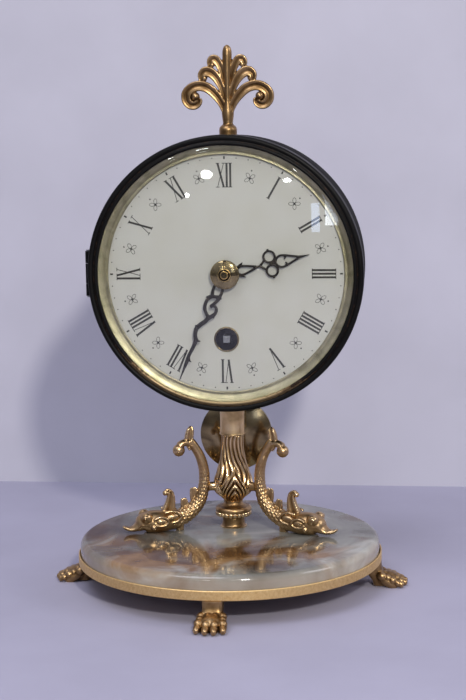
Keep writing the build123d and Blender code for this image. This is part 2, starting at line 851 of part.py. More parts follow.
def build_bezel():
    """Ring with two beads on its face, a lip over the glass and a skirt over the case."""
    outer = (bezel_radius, bezel_front + bezel_bead)
    groove_floor = bezel_front + bezel_inner_bead
    bead_half = sqrt(bezel_bead**2 - (bezel_bead - bezel_inner_bead) ** 2)
    groove = (bezel_radius - bezel_bead - bead_half, groove_floor)
    inner = (bezel_opening_radius + 2 * bezel_inner_bead, groove_floor)
    lip = (bezel_opening_radius, bezel_front + bezel_inner_bead)
    with BuildLine() as outline:
        ThreePointArc(outer, (bezel_radius - bezel_bead, bezel_front), groove)
        Line(groove, inner)
        ThreePointArc(inner, (bezel_opening_radius + bezel_inner_bead, bezel_front), lip)
        Polyline(lip, (bezel_opening_radius, bezel_back_of_lip),
                 (crystal_radius + seat_gap, bezel_back_of_lip),
                 (crystal_radius + seat_gap, crystal_back + seat_gap),
                 (skirt_bore_radius, case_front - swing_gap), (skirt_bore_radius, bezel_skirt_back),
                 (bezel_radius, bezel_skirt_back), outer)
    return turned_in_drum(outline.line)


def build_crystal():
    """Domed glass with a flat rim behind the bezel's lip."""
    edge = bezel_opening_radius - seat_gap
    dome = edge**2 / (2 * crystal_rise) + crystal_rise / 2
    apex = crystal_front - crystal_rise
    inner = dome - crystal_thickness
    back_edge = sqrt(inner**2 - (apex + dome - crystal_back) ** 2)
    half = edge / 2
    with BuildLine() as outline:
        ThreePointArc((0, apex), (half, apex + dome - sqrt(dome**2 - half**2)), (edge, crystal_front))
        Polyline((edge, crystal_front), (crystal_radius, crystal_front), (crystal_radius, crystal_back),
                 (back_edge, crystal_back))
        ThreePointArc((back_edge, crystal_back), (half, apex + dome - sqrt(inner**2 - half**2)),
                      (0, apex + crystal_thickness))
        Line((0, apex + crystal_thickness), (0, apex))
    return turned_in_drum(outline.line)


def build_sight_ring():
    """Gilt cone between glass and dial."""
    front = crystal_back + seat_gap
    outer = bezel_opening_radius - sight_ring_wall
    outline = Polyline((crystal_radius, front), (outer, front), (sight_ring_radius, sight_ring_back),
                       (sight_ring_radius + sight_ring_wall, sight_ring_back),
                       (bezel_opening_radius, front + sight_ring_wall),
                       (crystal_radius, front + sight_ring_wall), close=True)
    return turned_in_drum(outline)


def hinge_leaf_box(bottom, height, front, back):
    """Strip that runs from the hinge barrel along the drum."""
    strip = Pos(hinge_x + hinge_radius, drum_y + (front + back) / 2, bottom) * Box(
        2 * hinge_radius, back - front, height, align=(Align.CENTER, Align.CENTER, Align.MIN))
    return strip & (drum_cylinder(bezel_radius + hinge_leaf))


def build_bezel_hinge():
    bottom = drum_z - hinge_middle / 2
    leaf = hinge_leaf_box(bottom, hinge_middle, bezel_skirt_back - hinge_leaf_width, hinge_y)
    leaf -= drum_cylinder(bezel_radius + seat_gap)
    barrel = post(hinge_x, drum_y + hinge_y, bottom, hinge_radius, hinge_middle)
    pin_hole = post(hinge_x, drum_y + hinge_y, bottom - cut_overrun, hinge_pin_radius + running_gap,
                    hinge_middle + 2 * cut_overrun)
    return barrel + leaf - pin_hole


def build_case_hinge():
    """Two outer knuckles, each with a leaf on the case wall."""
    end = (hinge_length - hinge_middle) / 2 - swing_gap
    leaves = []
    for bottom in (drum_z - hinge_length / 2, drum_z + hinge_length / 2 - end):
        strip = Pos(hinge_x + hinge_radius, drum_y + hinge_y + hinge_leaf_width / 2, bottom) * Box(
            2 * hinge_radius, hinge_leaf_width, end, align=(Align.CENTER, Align.CENTER, Align.MIN))
        bridge = strip & drum_cylinder(bezel_radius + hinge_leaf)
        bridge -= drum_cylinder(case_radius + seat_gap)
        pin_hole = post(hinge_x, drum_y + hinge_y, bottom - cut_overrun, hinge_pin_radius + seat_gap,
                        end + 2 * cut_overrun)
        leaves.append(post(hinge_x, drum_y + hinge_y, bottom, hinge_radius, end) + bridge - pin_hole)
    return leaves


def build_hinge_pin():
    pin = post(hinge_x, drum_y + hinge_y, drum_z - hinge_length / 2, hinge_pin_radius, hinge_length)
    for z in (drum_z - hinge_length / 2 - hinge_pin_radius, drum_z + hinge_length / 2):
        pin += post(hinge_x, drum_y + hinge_y, z, hinge_head_radius, hinge_pin_radius)
    return pin


def dial_foot_places():
    return on_circle(dial_foot_circle, dial_foot_count, 90)


def build_dial():
    face = Circle(dial_radius) - Circle(dial_hole_radius)
    face -= Pos(0, -winding_offset) * Circle(grommet_neck_radius + seat_gap)
    dial = layer(face, dial_front, dial_back)
    for x, z in dial_foot_places():
        dial += disc(x, z, dial_foot_radius, dial_back, plate_back_of_front)
    return dial


def build_grommet():
    """Brass ferrule pressed into the winding hole."""
    flange = Circle(grommet_radius) - Circle(grommet_bore_radius)
    neck = Circle(grommet_neck_radius) - Circle(grommet_bore_radius)
    place = Pos(0, -winding_offset)
    grommet = layer(place * flange, dial_front - grommet_flange, dial_front)
    return grommet + layer(place * neck, dial_front, dial_back)


def ring_outline(x, y, outer, bar):
    return Pos(x, y) * (Circle(outer) - Circle(outer - bar))


def tapered_blade(start, end, width, point):
    return ruled_path([(-width / 2, start), (width / 2, start), (point / 2, end), (-point / 2, end)])


def hand_layer(outline, turn, front, back):
    return layer(Rot(0, 0, -turn) * outline, front, back)


def build_hour_hand():
    """Openwork hour hand: fork, teardrop, two rings side by side, a loop and a spike."""
    length = hour_hand_length
    outline = Circle(hour_boss_radius)
    tear = Pos(0, length * hour_tear_place_share) * (
        Ellipse(length * hour_tear_width_share, length * hour_tear_height_share)
        - Ellipse(length * hour_tear_width_share - hand_bar, length * hour_tear_height_share - hand_bar))
    outline += tear
    for hand in (-1, 1):
        outline += ring_outline(hand * length * hour_pair_spread_share, length * hour_pair_place_share,
                                length * hour_pair_ring_share, hand_bar)
        fork_tip = (hand * length * hour_fork_spread_share, length * hour_fork_share)
        outline += ruled_path([(0, hour_boss_radius - hand_bar), (0, hour_boss_radius + hand_bar), fork_tip])
    outline += ring_outline(0, length * hour_loop_place_share, length * hour_loop_ring_share, hand_bar)
    spike_start = length * (hour_loop_place_share + hour_loop_ring_share) - hand_bar
    outline += tapered_blade(spike_start, length, 2 * length * hour_spike_share, hand_bar / 3)
    tear_low = length * (hour_tear_place_share - hour_tear_height_share)
    tear_high = length * (hour_tear_place_share + hour_tear_height_share)
    outline += tapered_blade(0, tear_low + hand_bar / 2, 2 * hand_bar, hand_bar)
    loop_low = length * (hour_loop_place_share - hour_loop_ring_share)
    outline += tapered_blade(tear_high - hand_bar / 2, loop_low + hand_bar / 2, hand_bar, hand_bar)
    outline -= Circle(hour_pipe_radius + seat_gap)
    return hand_layer(outline, hour_hand_turn, hour_hand_front, hour_hand_back)


def build_minute_hand():
    """Serpentine minute hand: open scroll, shrinking waves with thorns, then a long point."""
    length = minute_hand_length
    outline = Circle(minute_boss_radius)
    scroll = length * minute_scroll_ring_share
    outline += tapered_blade(0, length * minute_scroll_place_share, 2 * hand_bar, hand_bar)
    outline += ring_outline(0, length * minute_scroll_place_share, scroll, hand_bar)
    hand = 1
    for place, ring in zip(minute_wave_places_share, minute_wave_rings_share):
        reach = length * ring
        half = ring_outline(0, 0, reach, hand_bar * minute_wave_bar_share)
        half &= Pos(hand * reach, 0) * Rectangle(2 * reach, 4 * reach)
        root = hand * (reach - hand_bar)
        thorn = ruled_path([(root, -hand_bar / 2), (root, hand_bar / 2),
                            (hand * (reach + length * minute_thorn_share / 2), hand_bar)])
        outline += Pos(-hand * hand_bar / 2, length * place) * (half + thorn)
        outline += Pos(0, length * place - reach + hand_bar / 2) * Circle(hand_bar * minute_joint_share)
        hand = -hand
    outline += tapered_blade(length * minute_spike_start_share, length, 2 * hand_bar, hand_bar / 4)
    outline -= Circle(cannon_tip_radius + seat_gap)
    return hand_layer(outline, minute_hand_turn, minute_hand_front, minute_hand_back)


def build_hand_washer():
    """Domed brass washer with a notch, over the hands."""
    dome = hand_washer_radius**2 / (2 * hand_washer_height) + hand_washer_height / 2
    bore = cannon_tip_radius + seat_gap
    crown = washer_front + dome - sqrt(dome**2 - bore**2)
    half = (bore + hand_washer_radius) / 2
    with BuildLine() as outline:
        ThreePointArc((bore, crown), (half, washer_front + dome - sqrt(dome**2 - half**2)),
                      (hand_washer_radius, minute_hand_front))
        Polyline((hand_washer_radius, minute_hand_front), (bore, minute_hand_front), (bore, crown))
    washer = turned_in_drum(outline.line)
    notch = Pos(0, hand_washer_radius) * Rectangle(washer_notch, 2 * washer_notch)
    return washer - layer(Rot(0, 0, -minute_hand_turn) * notch, washer_front - cut_overrun, minute_hand_front)


def build_hand_nut():
    flats = RegularPolygon(hand_nut_radius, 6) - Circle(cannon_tip_radius + seat_gap)
    return layer(flats, nut_front, washer_front)


def build_cannon_pinion():
    turn = mesh_turn(0, minute_wheel_teeth, 0, cannon_leaves)
    pinion = layer(gear_outline(cannon_leaves, motion_module, turn), cannon_teeth_front, cannon_back)
    pinion += disc(0, 0, cannon_pipe_radius, minute_hand_back, cannon_back)
    pinion += disc(0, 0, cannon_tip_radius, nut_front, minute_hand_back)
    return pinion - disc(0, 0, centre_front_radius + running_gap, minute_hand_back + hand_thickness,
                         cannon_back + cut_overrun)


def build_minute_wheel():
    wheel = gear_outline(minute_wheel_teeth, motion_module)
    pinion = gear_outline(minute_pinion_leaves, hour_module)
    piece = layer(wheel, minute_wheel_front, minute_wheel_front + motion_wheel)
    piece += layer(pinion, hour_wheel_front - motion_plate_gap, minute_wheel_front)
    piece -= disc(0, 0, post_pin_radius + running_gap, dial_front, front_plate_depth)
    return Pos(-motion_distance, 0, 0) * piece


def build_hour_wheel():
    turn = mesh_turn(0, minute_pinion_leaves, 0, hour_wheel_teeth)
    wheel = layer(gear_outline(hour_wheel_teeth, hour_module, turn), hour_wheel_front, hour_wheel_back)
    wheel += disc(0, 0, hour_pipe_radius, hour_hand_front, hour_wheel_back)
    return wheel - disc(0, 0, cannon_pipe_radius + running_gap, hour_hand_front - cut_overrun,
                        hour_wheel_back + cut_overrun)


def pillar_places():
    x, z = polar(pillar_circle, pillar_bearing_deg)
    return [(x, z), (-x, z), (-x, -z), (x, -z)]


def seat_screw_places():
    return on_circle(seat_screw_circle, seat_screw_count, 30)


def pivot_places():
    return [(third_x, third_z), (0, escape_z)]


def build_front_plate():
    plate = Circle(plate_radius) - Circle(centre_front_radius + running_gap)
    plate -= Pos(0, -winding_offset) * Circle(winding_arbor_radius + running_gap)
    plate -= Pos(0, pivot_height) * Circle(pivot_radius + running_gap)
    for x, z in pivot_places():
        plate -= Pos(x, z) * Circle(pivot_radius + running_gap)
    for x, z in dial_foot_places():
        plate -= Pos(x, z) * Circle(dial_foot_radius + seat_gap)
    for x, z in pillar_places() + seat_screw_places():
        plate -= Pos(x, z) * Circle(screw_radius + running_gap)
    solid = layer(plate, front_plate_depth, plate_back_of_front)
    post_front = hour_wheel_front - motion_plate_gap - seat_gap
    solid += disc(-motion_distance, 0, post_pin_radius, post_front, front_plate_depth)
    return solid + disc(click_x, click_z, post_pin_radius,
                        front_plate_depth - 2 * ratchet_gap - ratchet_thickness, front_plate_depth)


def build_back_plate():
    plate = Circle(plate_radius) - Circle(pivot_radius + running_gap)
    plate -= Pos(0, -winding_offset) * Circle(winding_arbor_radius + running_gap)
    plate -= Pos(0, pivot_height) * Circle(arbor_radius + running_gap)
    for x, z in pivot_places():
        plate -= Pos(x, z) * Circle(pivot_radius + running_gap)
    for x, z in pillar_places() + cock_screw_places():
        plate -= Pos(x, z) * Circle(screw_radius + running_gap)
    return layer(plate, back_plate_depth, back_plate_back)


def build_pillars():
    """Pillars with a rivet through the front plate and a tapped back end."""
    pillars = []
    for x, z in pillar_places():
        pillar = disc(x, z, pillar_radius, plate_back_of_front, back_plate_depth)
        pillar += disc(x, z, screw_radius, front_plate_depth, plate_back_of_front)
        pillars.append(pillar - disc(x, z, screw_radius + running_gap, back_plate_depth - screw_grip,
                                     back_plate_depth))
    return pillars


def cock_screw_places():
    rise = pivot_height + cock_rise + cock_arm_height + (cock_height - cock_arm_height) / 2
    return [(-cock_width / 4, rise), (cock_width / 4, rise)]


def build_movement_screws():
    """Screws for the pillars and for the suspension cock."""
    screws = []
    for x, z in pillar_places():
        shank = disc(x, z, screw_radius, back_plate_depth - screw_grip + seat_gap, back_plate_back)
        screws.append(shank + disc(x, z, screw_head_radius, back_plate_back, back_plate_back + screw_head))
    face = back_plate_back + cock_foot_thickness
    for x, z in cock_screw_places():
        shank = disc(x, z, screw_radius, back_plate_depth, face)
        screws.append(shank + disc(x, z, screw_head_radius, face, face + screw_head))
    return screws


def build_seat_ring():
    """Ring fixed inside the shell that the front plate is screwed to."""
    ring = Circle(case_bore_radius - seat_gap) - Circle(seat_ring_inner_radius)
    for x, z in seat_screw_places():
        ring -= Pos(x, z) * Circle(screw_radius + running_gap)
    return layer(ring, plate_back_of_front, plate_back_of_front + seat_ring_thickness)


def build_seat_screws():
    screws = []
    for x, z in seat_screw_places():
        shank = disc(x, z, screw_radius, front_plate_depth, plate_back_of_front + seat_ring_thickness)
        head = disc(x, z, screw_head_radius, front_plate_depth - screw_head, front_plate_depth)
        screws.append(shank + head)
    return screws


def arbor(x, z, radius, front, back):
    """Arbor between the plates with a pivot in each."""
    stem = disc(x, z, radius, plate_back_of_front + running_gap, back_plate_depth - running_gap)
    return stem + disc(x, z, pivot_radius, front, back)


def build_centre_arbor():
    """Centre pinion on the arbor that reaches through the dial to the hands."""
    turn = mesh_turn(90, barrel_teeth, 0, centre_leaves)
    body = arbor(0, 0, arbor_radius, back_plate_depth - running_gap, back_plate_back)
    front_end = minute_hand_back + hand_thickness + seat_gap
    body += disc(0, 0, centre_front_radius, front_end, plate_back_of_front + running_gap)
    pinion = layer(gear_outline(centre_leaves, barrel_module, turn), barrel_front - running_gap,
                   barrel_front + barrel_rim + running_gap)
    return body + pinion


def train_wheel_solid(teeth, module, turn, depth, bore):
    outline = gear_outline(teeth, module, turn)
    rim = module * (teeth / 2 - dedendum_share) - rim_width
    outline = crossed_out(outline, rim, hub_radius)
    if bore:
        outline -= Circle(bore)
    return layer(outline, depth, depth + train_wheel)


def build_centre_wheel():
    return train_wheel_solid(centre_teeth, centre_module, 0, centre_wheel_depth, arbor_radius + seat_gap)


def pinion_solid(leaves, module, turn, depth):
    middle = depth + train_wheel / 2
    return layer(gear_outline(leaves, module, turn), middle - pinion_face / 2, middle + pinion_face / 2)


def build_third_wheel():
    turn = mesh_turn(third_bearing_deg, centre_teeth, 0, third_leaves)
    piece = arbor(0, 0, post_pin_radius, front_plate_depth, back_plate_back)
    piece += pinion_solid(third_leaves, centre_module, turn, centre_wheel_depth)
    piece += train_wheel_solid(third_teeth, third_module, 0, third_wheel_depth, 0)
    return Pos(third_x, 0, third_z) * piece


def escape_outline():
    """Pointed teeth that lean the way the wheel turns."""
    points = []
    pitch = 2 * pi / escape_teeth
    root = escape_radius * (1 - escape_depth_share * pitch)
    for tooth in range(escape_teeth):
        points.append((root * cos(tooth * pitch), root * sin(tooth * pitch)))
        lean = (tooth + escape_lean_share) * pitch
        points.append((escape_radius * cos(lean), escape_radius * sin(lean)))
    return crossed_out(ruled_path(points), root - rim_width, hub_radius)


def build_escape_wheel():
    bearing = degrees(atan2(escape_z - third_z, -third_x))
    turn = mesh_turn(bearing, third_teeth, 0, escape_leaves)
    piece = arbor(0, 0, post_pin_radius, front_plate_depth, back_plate_back)
    piece += pinion_solid(escape_leaves, third_module, turn, third_wheel_depth)
    piece += layer(escape_outline(), escape_wheel_depth, escape_wheel_depth + train_wheel)
    return Pos(0, 0, escape_z) * piece


def build_barrel():
    """Open drum with a toothed rim; its floor runs on the winding arbor."""
    cup = layer(gear_outline(barrel_teeth, barrel_module), barrel_front, barrel_front + barrel_rim)
    cup += disc(0, 0, barrel_body_radius, barrel_front, barrel_back)
    cup -= disc(0, 0, barrel_body_radius - barrel_wall, barrel_front + barrel_rim, barrel_back + cut_overrun)
    cup -= disc(0, 0, winding_arbor_radius + running_gap, barrel_front - cut_overrun, barrel_back)
    return Pos(0, 0, -winding_offset) * cup


def build_barrel_cover():
    lid = Circle(barrel_body_radius - barrel_wall - seat_gap) - Circle(winding_arbor_radius + running_gap)
    return Pos(0, 0, -winding_offset) * layer(lid, barrel_back - barrel_cover_thickness, barrel_back)


def build_mainspring():
    """Spring strip wound in half turns from the barrel wall inwards."""
    outer = barrel_body_radius - barrel_wall - swing_gap
    step = (outer - spring_inner_radius) / (2 * spring_turns)
    strip = None
    for half in range(2 * spring_turns):
        radius = outer - half * step
        side = 1 if half % 2 == 0 else -1
        centre = 0 if half % 2 == 0 else step
        band = Circle(radius) - Circle(radius - spring_strip)
        band &= Pos(0, side * radius) * Rectangle(4 * radius, 2 * radius)
        placed = Pos(centre, 0) * band
        strip = placed if strip is None else strip + placed
    middle = (barrel_front + barrel_rim + barrel_back - barrel_cover_thickness) / 2
    coil = layer(strip, middle - spring_height / 2, middle + spring_height / 2)
    return Pos(0, 0, -winding_offset) * coil


def build_winding_arbor():
    """Arbor of the barrel: a hub in the spring and a square for the key."""
    body = disc(0, 0, winding_arbor_radius, front_plate_depth, back_plate_back)
    hub_front = barrel_front + barrel_rim + running_gap
    body += disc(0, 0, winding_hub_radius, hub_front, barrel_back - barrel_cover_thickness - running_gap)
    body += layer(Rectangle(winding_square, winding_square), dial_front + winding_recess, front_plate_depth)
    return Pos(0, 0, -winding_offset) * body


def build_ratchet():
    points = []
    for tooth in range(ratchet_teeth):
        bearing = 360 * tooth / ratchet_teeth
        points.append(polar(ratchet_radius, bearing))
        points.append(polar(ratchet_radius - ratchet_tooth, bearing))
    square = winding_square + 2 * seat_gap
    outline = ruled_path(points) - Rectangle(square, square)
    back = front_plate_depth - ratchet_gap
    return Pos(0, 0, -winding_offset) * layer(outline, back - ratchet_thickness, back)


def build_click():
    """Pawl on its post, nose just clear of the ratchet's tips."""
    nose = polar(click_reach, click_aim_deg)
    outline = make_hull((Circle(click_boss_radius) + Pos(*nose) * Circle(click_nose_radius)).edges())
    outline -= Circle(post_pin_radius + running_gap)
    back = front_plate_depth - ratchet_gap
    return Pos(click_x, 0, click_z) * layer(outline, back - ratchet_thickness, back)


def build_click_spring():
    """Flat spring with a foot on the plate, bearing towards the click's back."""
    rise = click_z + click_boss_radius + click_spring_gap
    strip = Pos(click_x - click_spring_foot / 2, rise) * Rectangle(click_spring_length, click_spring_strip)
    foot_x = click_x - click_spring_foot / 2 - click_spring_length / 2
    foot = Pos(foot_x, rise) * Rectangle(click_spring_foot, click_spring_foot)
    back = front_plate_depth - ratchet_gap
    spring = layer(strip, back - ratchet_thickness, back)
    return spring + layer(foot, back - ratchet_thickness, front_plate_depth)


def build_anchor():
    """Anchor over the escape wheel, its arbor through the back plate, and the crutch."""
    escape_below = escape_z - pivot_height
    inner = escape_radius + pallet_gap
    reach = inner + pallet_band
    arch = Circle(reach) - Circle(inner)
    width = 2 * reach * sin(radians(pallet_half_span_deg))
    arch &= Pos(0, reach) * Rectangle(width, 2 * reach * (1 - cos(radians(pallet_half_span_deg)) / 2))
    outline = Pos(0, escape_below) * arch + Circle(anchor_boss_radius)
    stem_length = -escape_below - inner
    outline += Pos(0, -stem_length / 2) * Rectangle(anchor_boss_radius, stem_length)
    middle = escape_wheel_depth + train_wheel / 2
    piece = layer(outline, middle - anchor_thickness / 2, middle + anchor_thickness / 2)
    piece += disc(0, 0, arbor_radius, plate_back_of_front + running_gap, crutch_depth + crutch_thickness)
    piece += disc(0, 0, pivot_radius, front_plate_depth, plate_back_of_front + running_gap)
    strap = Pos(0, -crutch_drop / 2) * Rectangle(crutch_width, crutch_drop)
    strap += Circle(crutch_width * crutch_eye_share)
    piece += layer(strap, crutch_depth, crutch_depth + crutch_thickness)
    spread = rod_radius + fork_gap
    yoke = Pos(0, -crutch_drop) * Rectangle(2 * (spread + fork_prong), fork_height)
    piece += layer(yoke, crutch_depth, crutch_depth + crutch_thickness)
    for hand in (-1, 1):
        prong = Pos(hand * (spread + fork_prong / 2), -crutch_drop) * Rectangle(fork_prong, fork_height)
        piece += layer(prong, crutch_depth, pendulum_depth + 2 * rod_radius)
    return Pos(0, 0, pivot_height) * piece


def build_cock():
    """Bracket on the back plate with a slit that takes the suspension spring."""
    foot = Pos(0, pivot_height + cock_rise + cock_height / 2) * Rectangle(cock_width, cock_height)
    for x, z in cock_screw_places():
        foot -= Pos(x, z) * Circle(screw_radius + running_gap)
    cock = layer(foot, back_plate_back, back_plate_back + cock_foot_thickness)
    arm = Pos(0, pivot_height + cock_rise + cock_arm_height / 2) * Rectangle(cock_arm_width, cock_arm_height)
    cock += layer(arm, back_plate_back, pendulum_depth + cock_tail)
    slit = Pos(0, pivot_height + cock_rise + cock_arm_height / 2) * Rectangle(cock_slit, 2 * cock_arm_height)
    half = suspension_width / 2 + swing_gap
    return cock - layer(slit, pendulum_depth - half, pendulum_depth + half)


def build_suspension_spring():
    bottom = pivot_height - suspension_drop
    top = pivot_height + suspension_rise
    strip = Pos(0, (bottom + top) / 2) * Rectangle(suspension_strip, top - bottom)
    half = suspension_width / 2
    return layer(strip, pendulum_depth - half, pendulum_depth + half)


def build_pendulum_rod():
    top = pivot_z - suspension_drop
    rod = post(0, pendulum_y, rod_bottom, rod_radius, top - rod_head_height / 2 - rod_bottom)
    head = Box(rod_head_width, rod_head_depth, rod_head_height, align=(Align.CENTER, Align.CENTER, Align.MAX))
    return rod + Pos(0, pendulum_y, top) * head


def build_bob():
    """Polished brass lens on the rod."""
    half = bob_thickness / 2
    edge = bob_edge / 2
    dome = bob_radius**2 / (2 * (half - edge)) + (half - edge) / 2
    flank = bob_radius / 2
    drop = dome - sqrt(dome**2 - flank**2)
    with BuildLine() as outline:
        ThreePointArc((0, -half), (flank, drop - half), (bob_radius, -edge))
        Line((bob_radius, -edge), (bob_radius, edge))
        ThreePointArc((bob_radius, edge), (flank, half - drop), (0, half))
        Line((0, half), (0, -half))
    section = Plane(origin=(0, pendulum_y, bob_z), x_dir=(1, 0, 0), z_dir=(0, 0, 1)) * make_face(outline.line)
    lens = revolve(section, Axis((0, pendulum_y, bob_z), (0, 1, 0)))
    return lens - post(0, pendulum_y, bob_z - bob_radius - cut_overrun, rod_radius + seat_gap,
                       2 * bob_radius + 2 * cut_overrun)


def build_rating_nut():
    bottom = bob_z - bob_radius - rating_nut_height
    nut = post(0, pendulum_y, bottom, rating_nut_radius, rating_nut_height)
    return nut - post(0, pendulum_y, bottom - cut_overrun, rod_radius + seat_gap,
                      rating_nut_height + 2 * cut_overrun)


def build_nodes():
    """Every piece of the clock by the name it has on the bench."""
    nodes = {
        "onyx_slab": build_slab(),
        "base_band": build_band(),
        "foot_screws": build_foot_screws(),
        "column_foot": build_column_foot(),
        "column_baluster": build_baluster(),
        "column_sleeve": build_sleeve(),
        "tie_rod": build_tie_rod(),
        "base_nut": build_base_nut(),
        "dolphin_right": build_dolphin(-dolphin_splay),
        "dolphin_left": build_dolphin(180 + dolphin_splay),
        "case_shell": build_case(),
        "case_nut": build_case_nut(),
        "back_cover": build_back_cover(),
        "cover_posts": build_cover_posts(),
        "cover_screws": build_cover_screws(),
        "finial": build_finial(),
        "finial_nut": build_finial_nut(),
        "bezel": build_bezel(),
        "crystal": build_crystal(),
        "sight_ring": build_sight_ring(),
        "bezel_hinge": build_bezel_hinge(),
        "case_hinge": build_case_hinge(),
        "hinge_pin": build_hinge_pin(),
        "dial": build_dial(),
        "winding_grommet": build_grommet(),
        "hour_hand": build_hour_hand(),
        "minute_hand": build_minute_hand(),
        "hand_washer": build_hand_washer(),
        "hand_nut": build_hand_nut(),
        "cannon_pinion": build_cannon_pinion(),
        "minute_wheel": build_minute_wheel(),
        "hour_wheel": build_hour_wheel(),
        "front_plate": build_front_plate(),
        "back_plate": build_back_plate(),
        "pillars": build_pillars(),
        "movement_screws": build_movement_screws(),
        "seat_ring": build_seat_ring(),
        "seat_screws": build_seat_screws(),
        "centre_arbor": build_centre_arbor(),
        "centre_wheel": build_centre_wheel(),
        "third_wheel": build_third_wheel(),
        "escape_wheel": build_escape_wheel(),
        "barrel": build_barrel(),
        "barrel_cover": build_barrel_cover(),
        "mainspring": build_mainspring(),
        "winding_arbor": build_winding_arbor(),
        "ratchet_wheel": build_ratchet(),
        "click": build_click(),
        "click_spring": build_click_spring(),
        "anchor": build_anchor(),
        "suspension_cock": build_cock(),
        "suspension_spring": build_suspension_spring(),
        "pendulum_rod": build_pendulum_rod(),
        "pendulum_bob": build_bob(),
        "rating_nut": build_rating_nut(),
    }
    for name, bearing in foot_bearings.items():
        nodes[f"paw_foot_{name}"] = build_paw_foot(bearing)
    return nodes


def main():
    os.makedirs("parts", exist_ok=True)
    for name, piece in build_nodes().items():
        solids = piece if isinstance(piece, list) else piece.solids()
        shape = Compound(children=list(solids)) if len(solids) > 1 else solids[0]
        export_step(shape, f"parts/{name}.step")


if __name__ == "__main__":
    main()
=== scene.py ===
"""Pendulum table clock with a drum case on an onyx base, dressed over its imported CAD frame."""

from math import atan2, cos, degrees, exp, pi, radians, sin

import bmesh
import bpy
from mathutils import Matrix, Vector


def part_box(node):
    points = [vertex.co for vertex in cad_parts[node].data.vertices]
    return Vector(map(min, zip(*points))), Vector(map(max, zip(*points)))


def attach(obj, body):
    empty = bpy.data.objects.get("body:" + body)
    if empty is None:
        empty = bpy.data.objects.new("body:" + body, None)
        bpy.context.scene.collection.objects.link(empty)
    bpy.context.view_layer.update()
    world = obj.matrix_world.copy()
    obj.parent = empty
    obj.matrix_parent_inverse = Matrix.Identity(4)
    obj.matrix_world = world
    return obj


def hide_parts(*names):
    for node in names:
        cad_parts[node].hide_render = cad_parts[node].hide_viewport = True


bl_info = {
    "name": "Pendulum Table Clock",
    "version": (1, 0, 0),
    "blender": (4, 5, 0),
    "location": "3D View > Sidebar > Clock",
    "description": "Dresses the table clock's frame with its castings, dial, glass and finishes",
    "category": "Object",
}

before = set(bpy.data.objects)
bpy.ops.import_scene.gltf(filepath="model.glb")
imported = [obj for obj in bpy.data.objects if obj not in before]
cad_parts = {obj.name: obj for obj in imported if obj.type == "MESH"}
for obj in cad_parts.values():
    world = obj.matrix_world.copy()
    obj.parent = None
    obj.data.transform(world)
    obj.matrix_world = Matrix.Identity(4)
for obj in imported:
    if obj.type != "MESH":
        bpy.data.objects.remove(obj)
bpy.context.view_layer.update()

# Meshes are drawn in millimetres and brought to metres when a piece is finished.
MM = 0.001
# Steps round a large and a small turned piece
TURN_STEPS, SMALL_TURN_STEPS = 160, 96
# Points nearer than this are one
MERGE = 0.001
# Stands a flat drawing up, so that its Y is the height
UPRIGHT = Matrix.Rotation(radians(90), 4, "X")


def span(node):
    """Lowest and highest corner of a CAD node, in millimetres."""
    low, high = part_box(node)
    return low / MM, high / MM


def middle(node):
    low, high = span(node)
    return (low + high) / 2


# The drum's own frame: X to the right, Y up, Z out of the dial, from the middle of the drum.
DRUM = Vector((0, middle("column_sleeve").y, middle("bezel").z))
DRUM_FRAME = Matrix.Translation(DRUM) @ UPRIGHT
WORLD_FRAME = Matrix.Identity(4)
COLUMN_FRAME = Matrix.Translation((DRUM.x, DRUM.y, 0))


def front_of(node):
    """How far a node's front stands before the middle of the drum."""
    return DRUM.y - span(node)[0].y


def back_of(node):
    return DRUM.y - span(node)[1].y


class ClockSizes(bpy.types.PropertyGroup):
    """Sizes that set the clock's look, in metres as Blender keeps them."""

    slab_round: bpy.props.FloatProperty(
        name="Slab edge", description="Rounding of the onyx slab's upper edge",
        default=3.0 * MM, unit="LENGTH")
    numeral_height: bpy.props.FloatProperty(
        name="Numeral height", description="Height of the Roman numerals",
        default=10.2 * MM, unit="LENGTH")
    numeral_circle: bpy.props.FloatProperty(
        name="Numeral circle", description="Radius of the circle through the middle of the numerals",
        default=42.6 * MM, unit="LENGTH")
    minute_circle: bpy.props.FloatProperty(
        name="Minute circle", description="Radius of the ring of minute dots",
        default=50.1 * MM, unit="LENGTH")
    thick_stroke: bpy.props.FloatProperty(
        name="Thick stroke", description="Width of a numeral's main strokes",
        default=0.9 * MM, unit="LENGTH")
    thin_stroke: bpy.props.FloatProperty(
        name="Thin stroke", description="Width of a numeral's hairlines",
        default=0.3 * MM, unit="LENGTH")
    hour_turn: bpy.props.FloatProperty(
        name="Hour hand", description="Turn of the hour hand from twelve at rest",
        default=radians(77), subtype="ANGLE")
    minute_turn: bpy.props.FloatProperty(
        name="Minute hand", description="Turn of the minute hand from twelve at rest",
        default=radians(204), subtype="ANGLE")
    bead_count: bpy.props.IntProperty(
        name="Beads", description="Beads round the collar of the column's foot", default=23, min=8)


def colour(default, name, description):
    return bpy.props.FloatVectorProperty(
        name=name, description=description, subtype="COLOR", size=4, min=0, max=1,
        default=linear(default))


def linear(code):
    """A linear colour from an sRGB hex code."""
    shades = [int(code[i:i + 2], 16) / 255 for i in (1, 3, 5)]
    return tuple(s / 12.92 if s <= 0.04045 else ((s + 0.055) / 1.055) ** 2.4 for s in shades) + (1.0,)


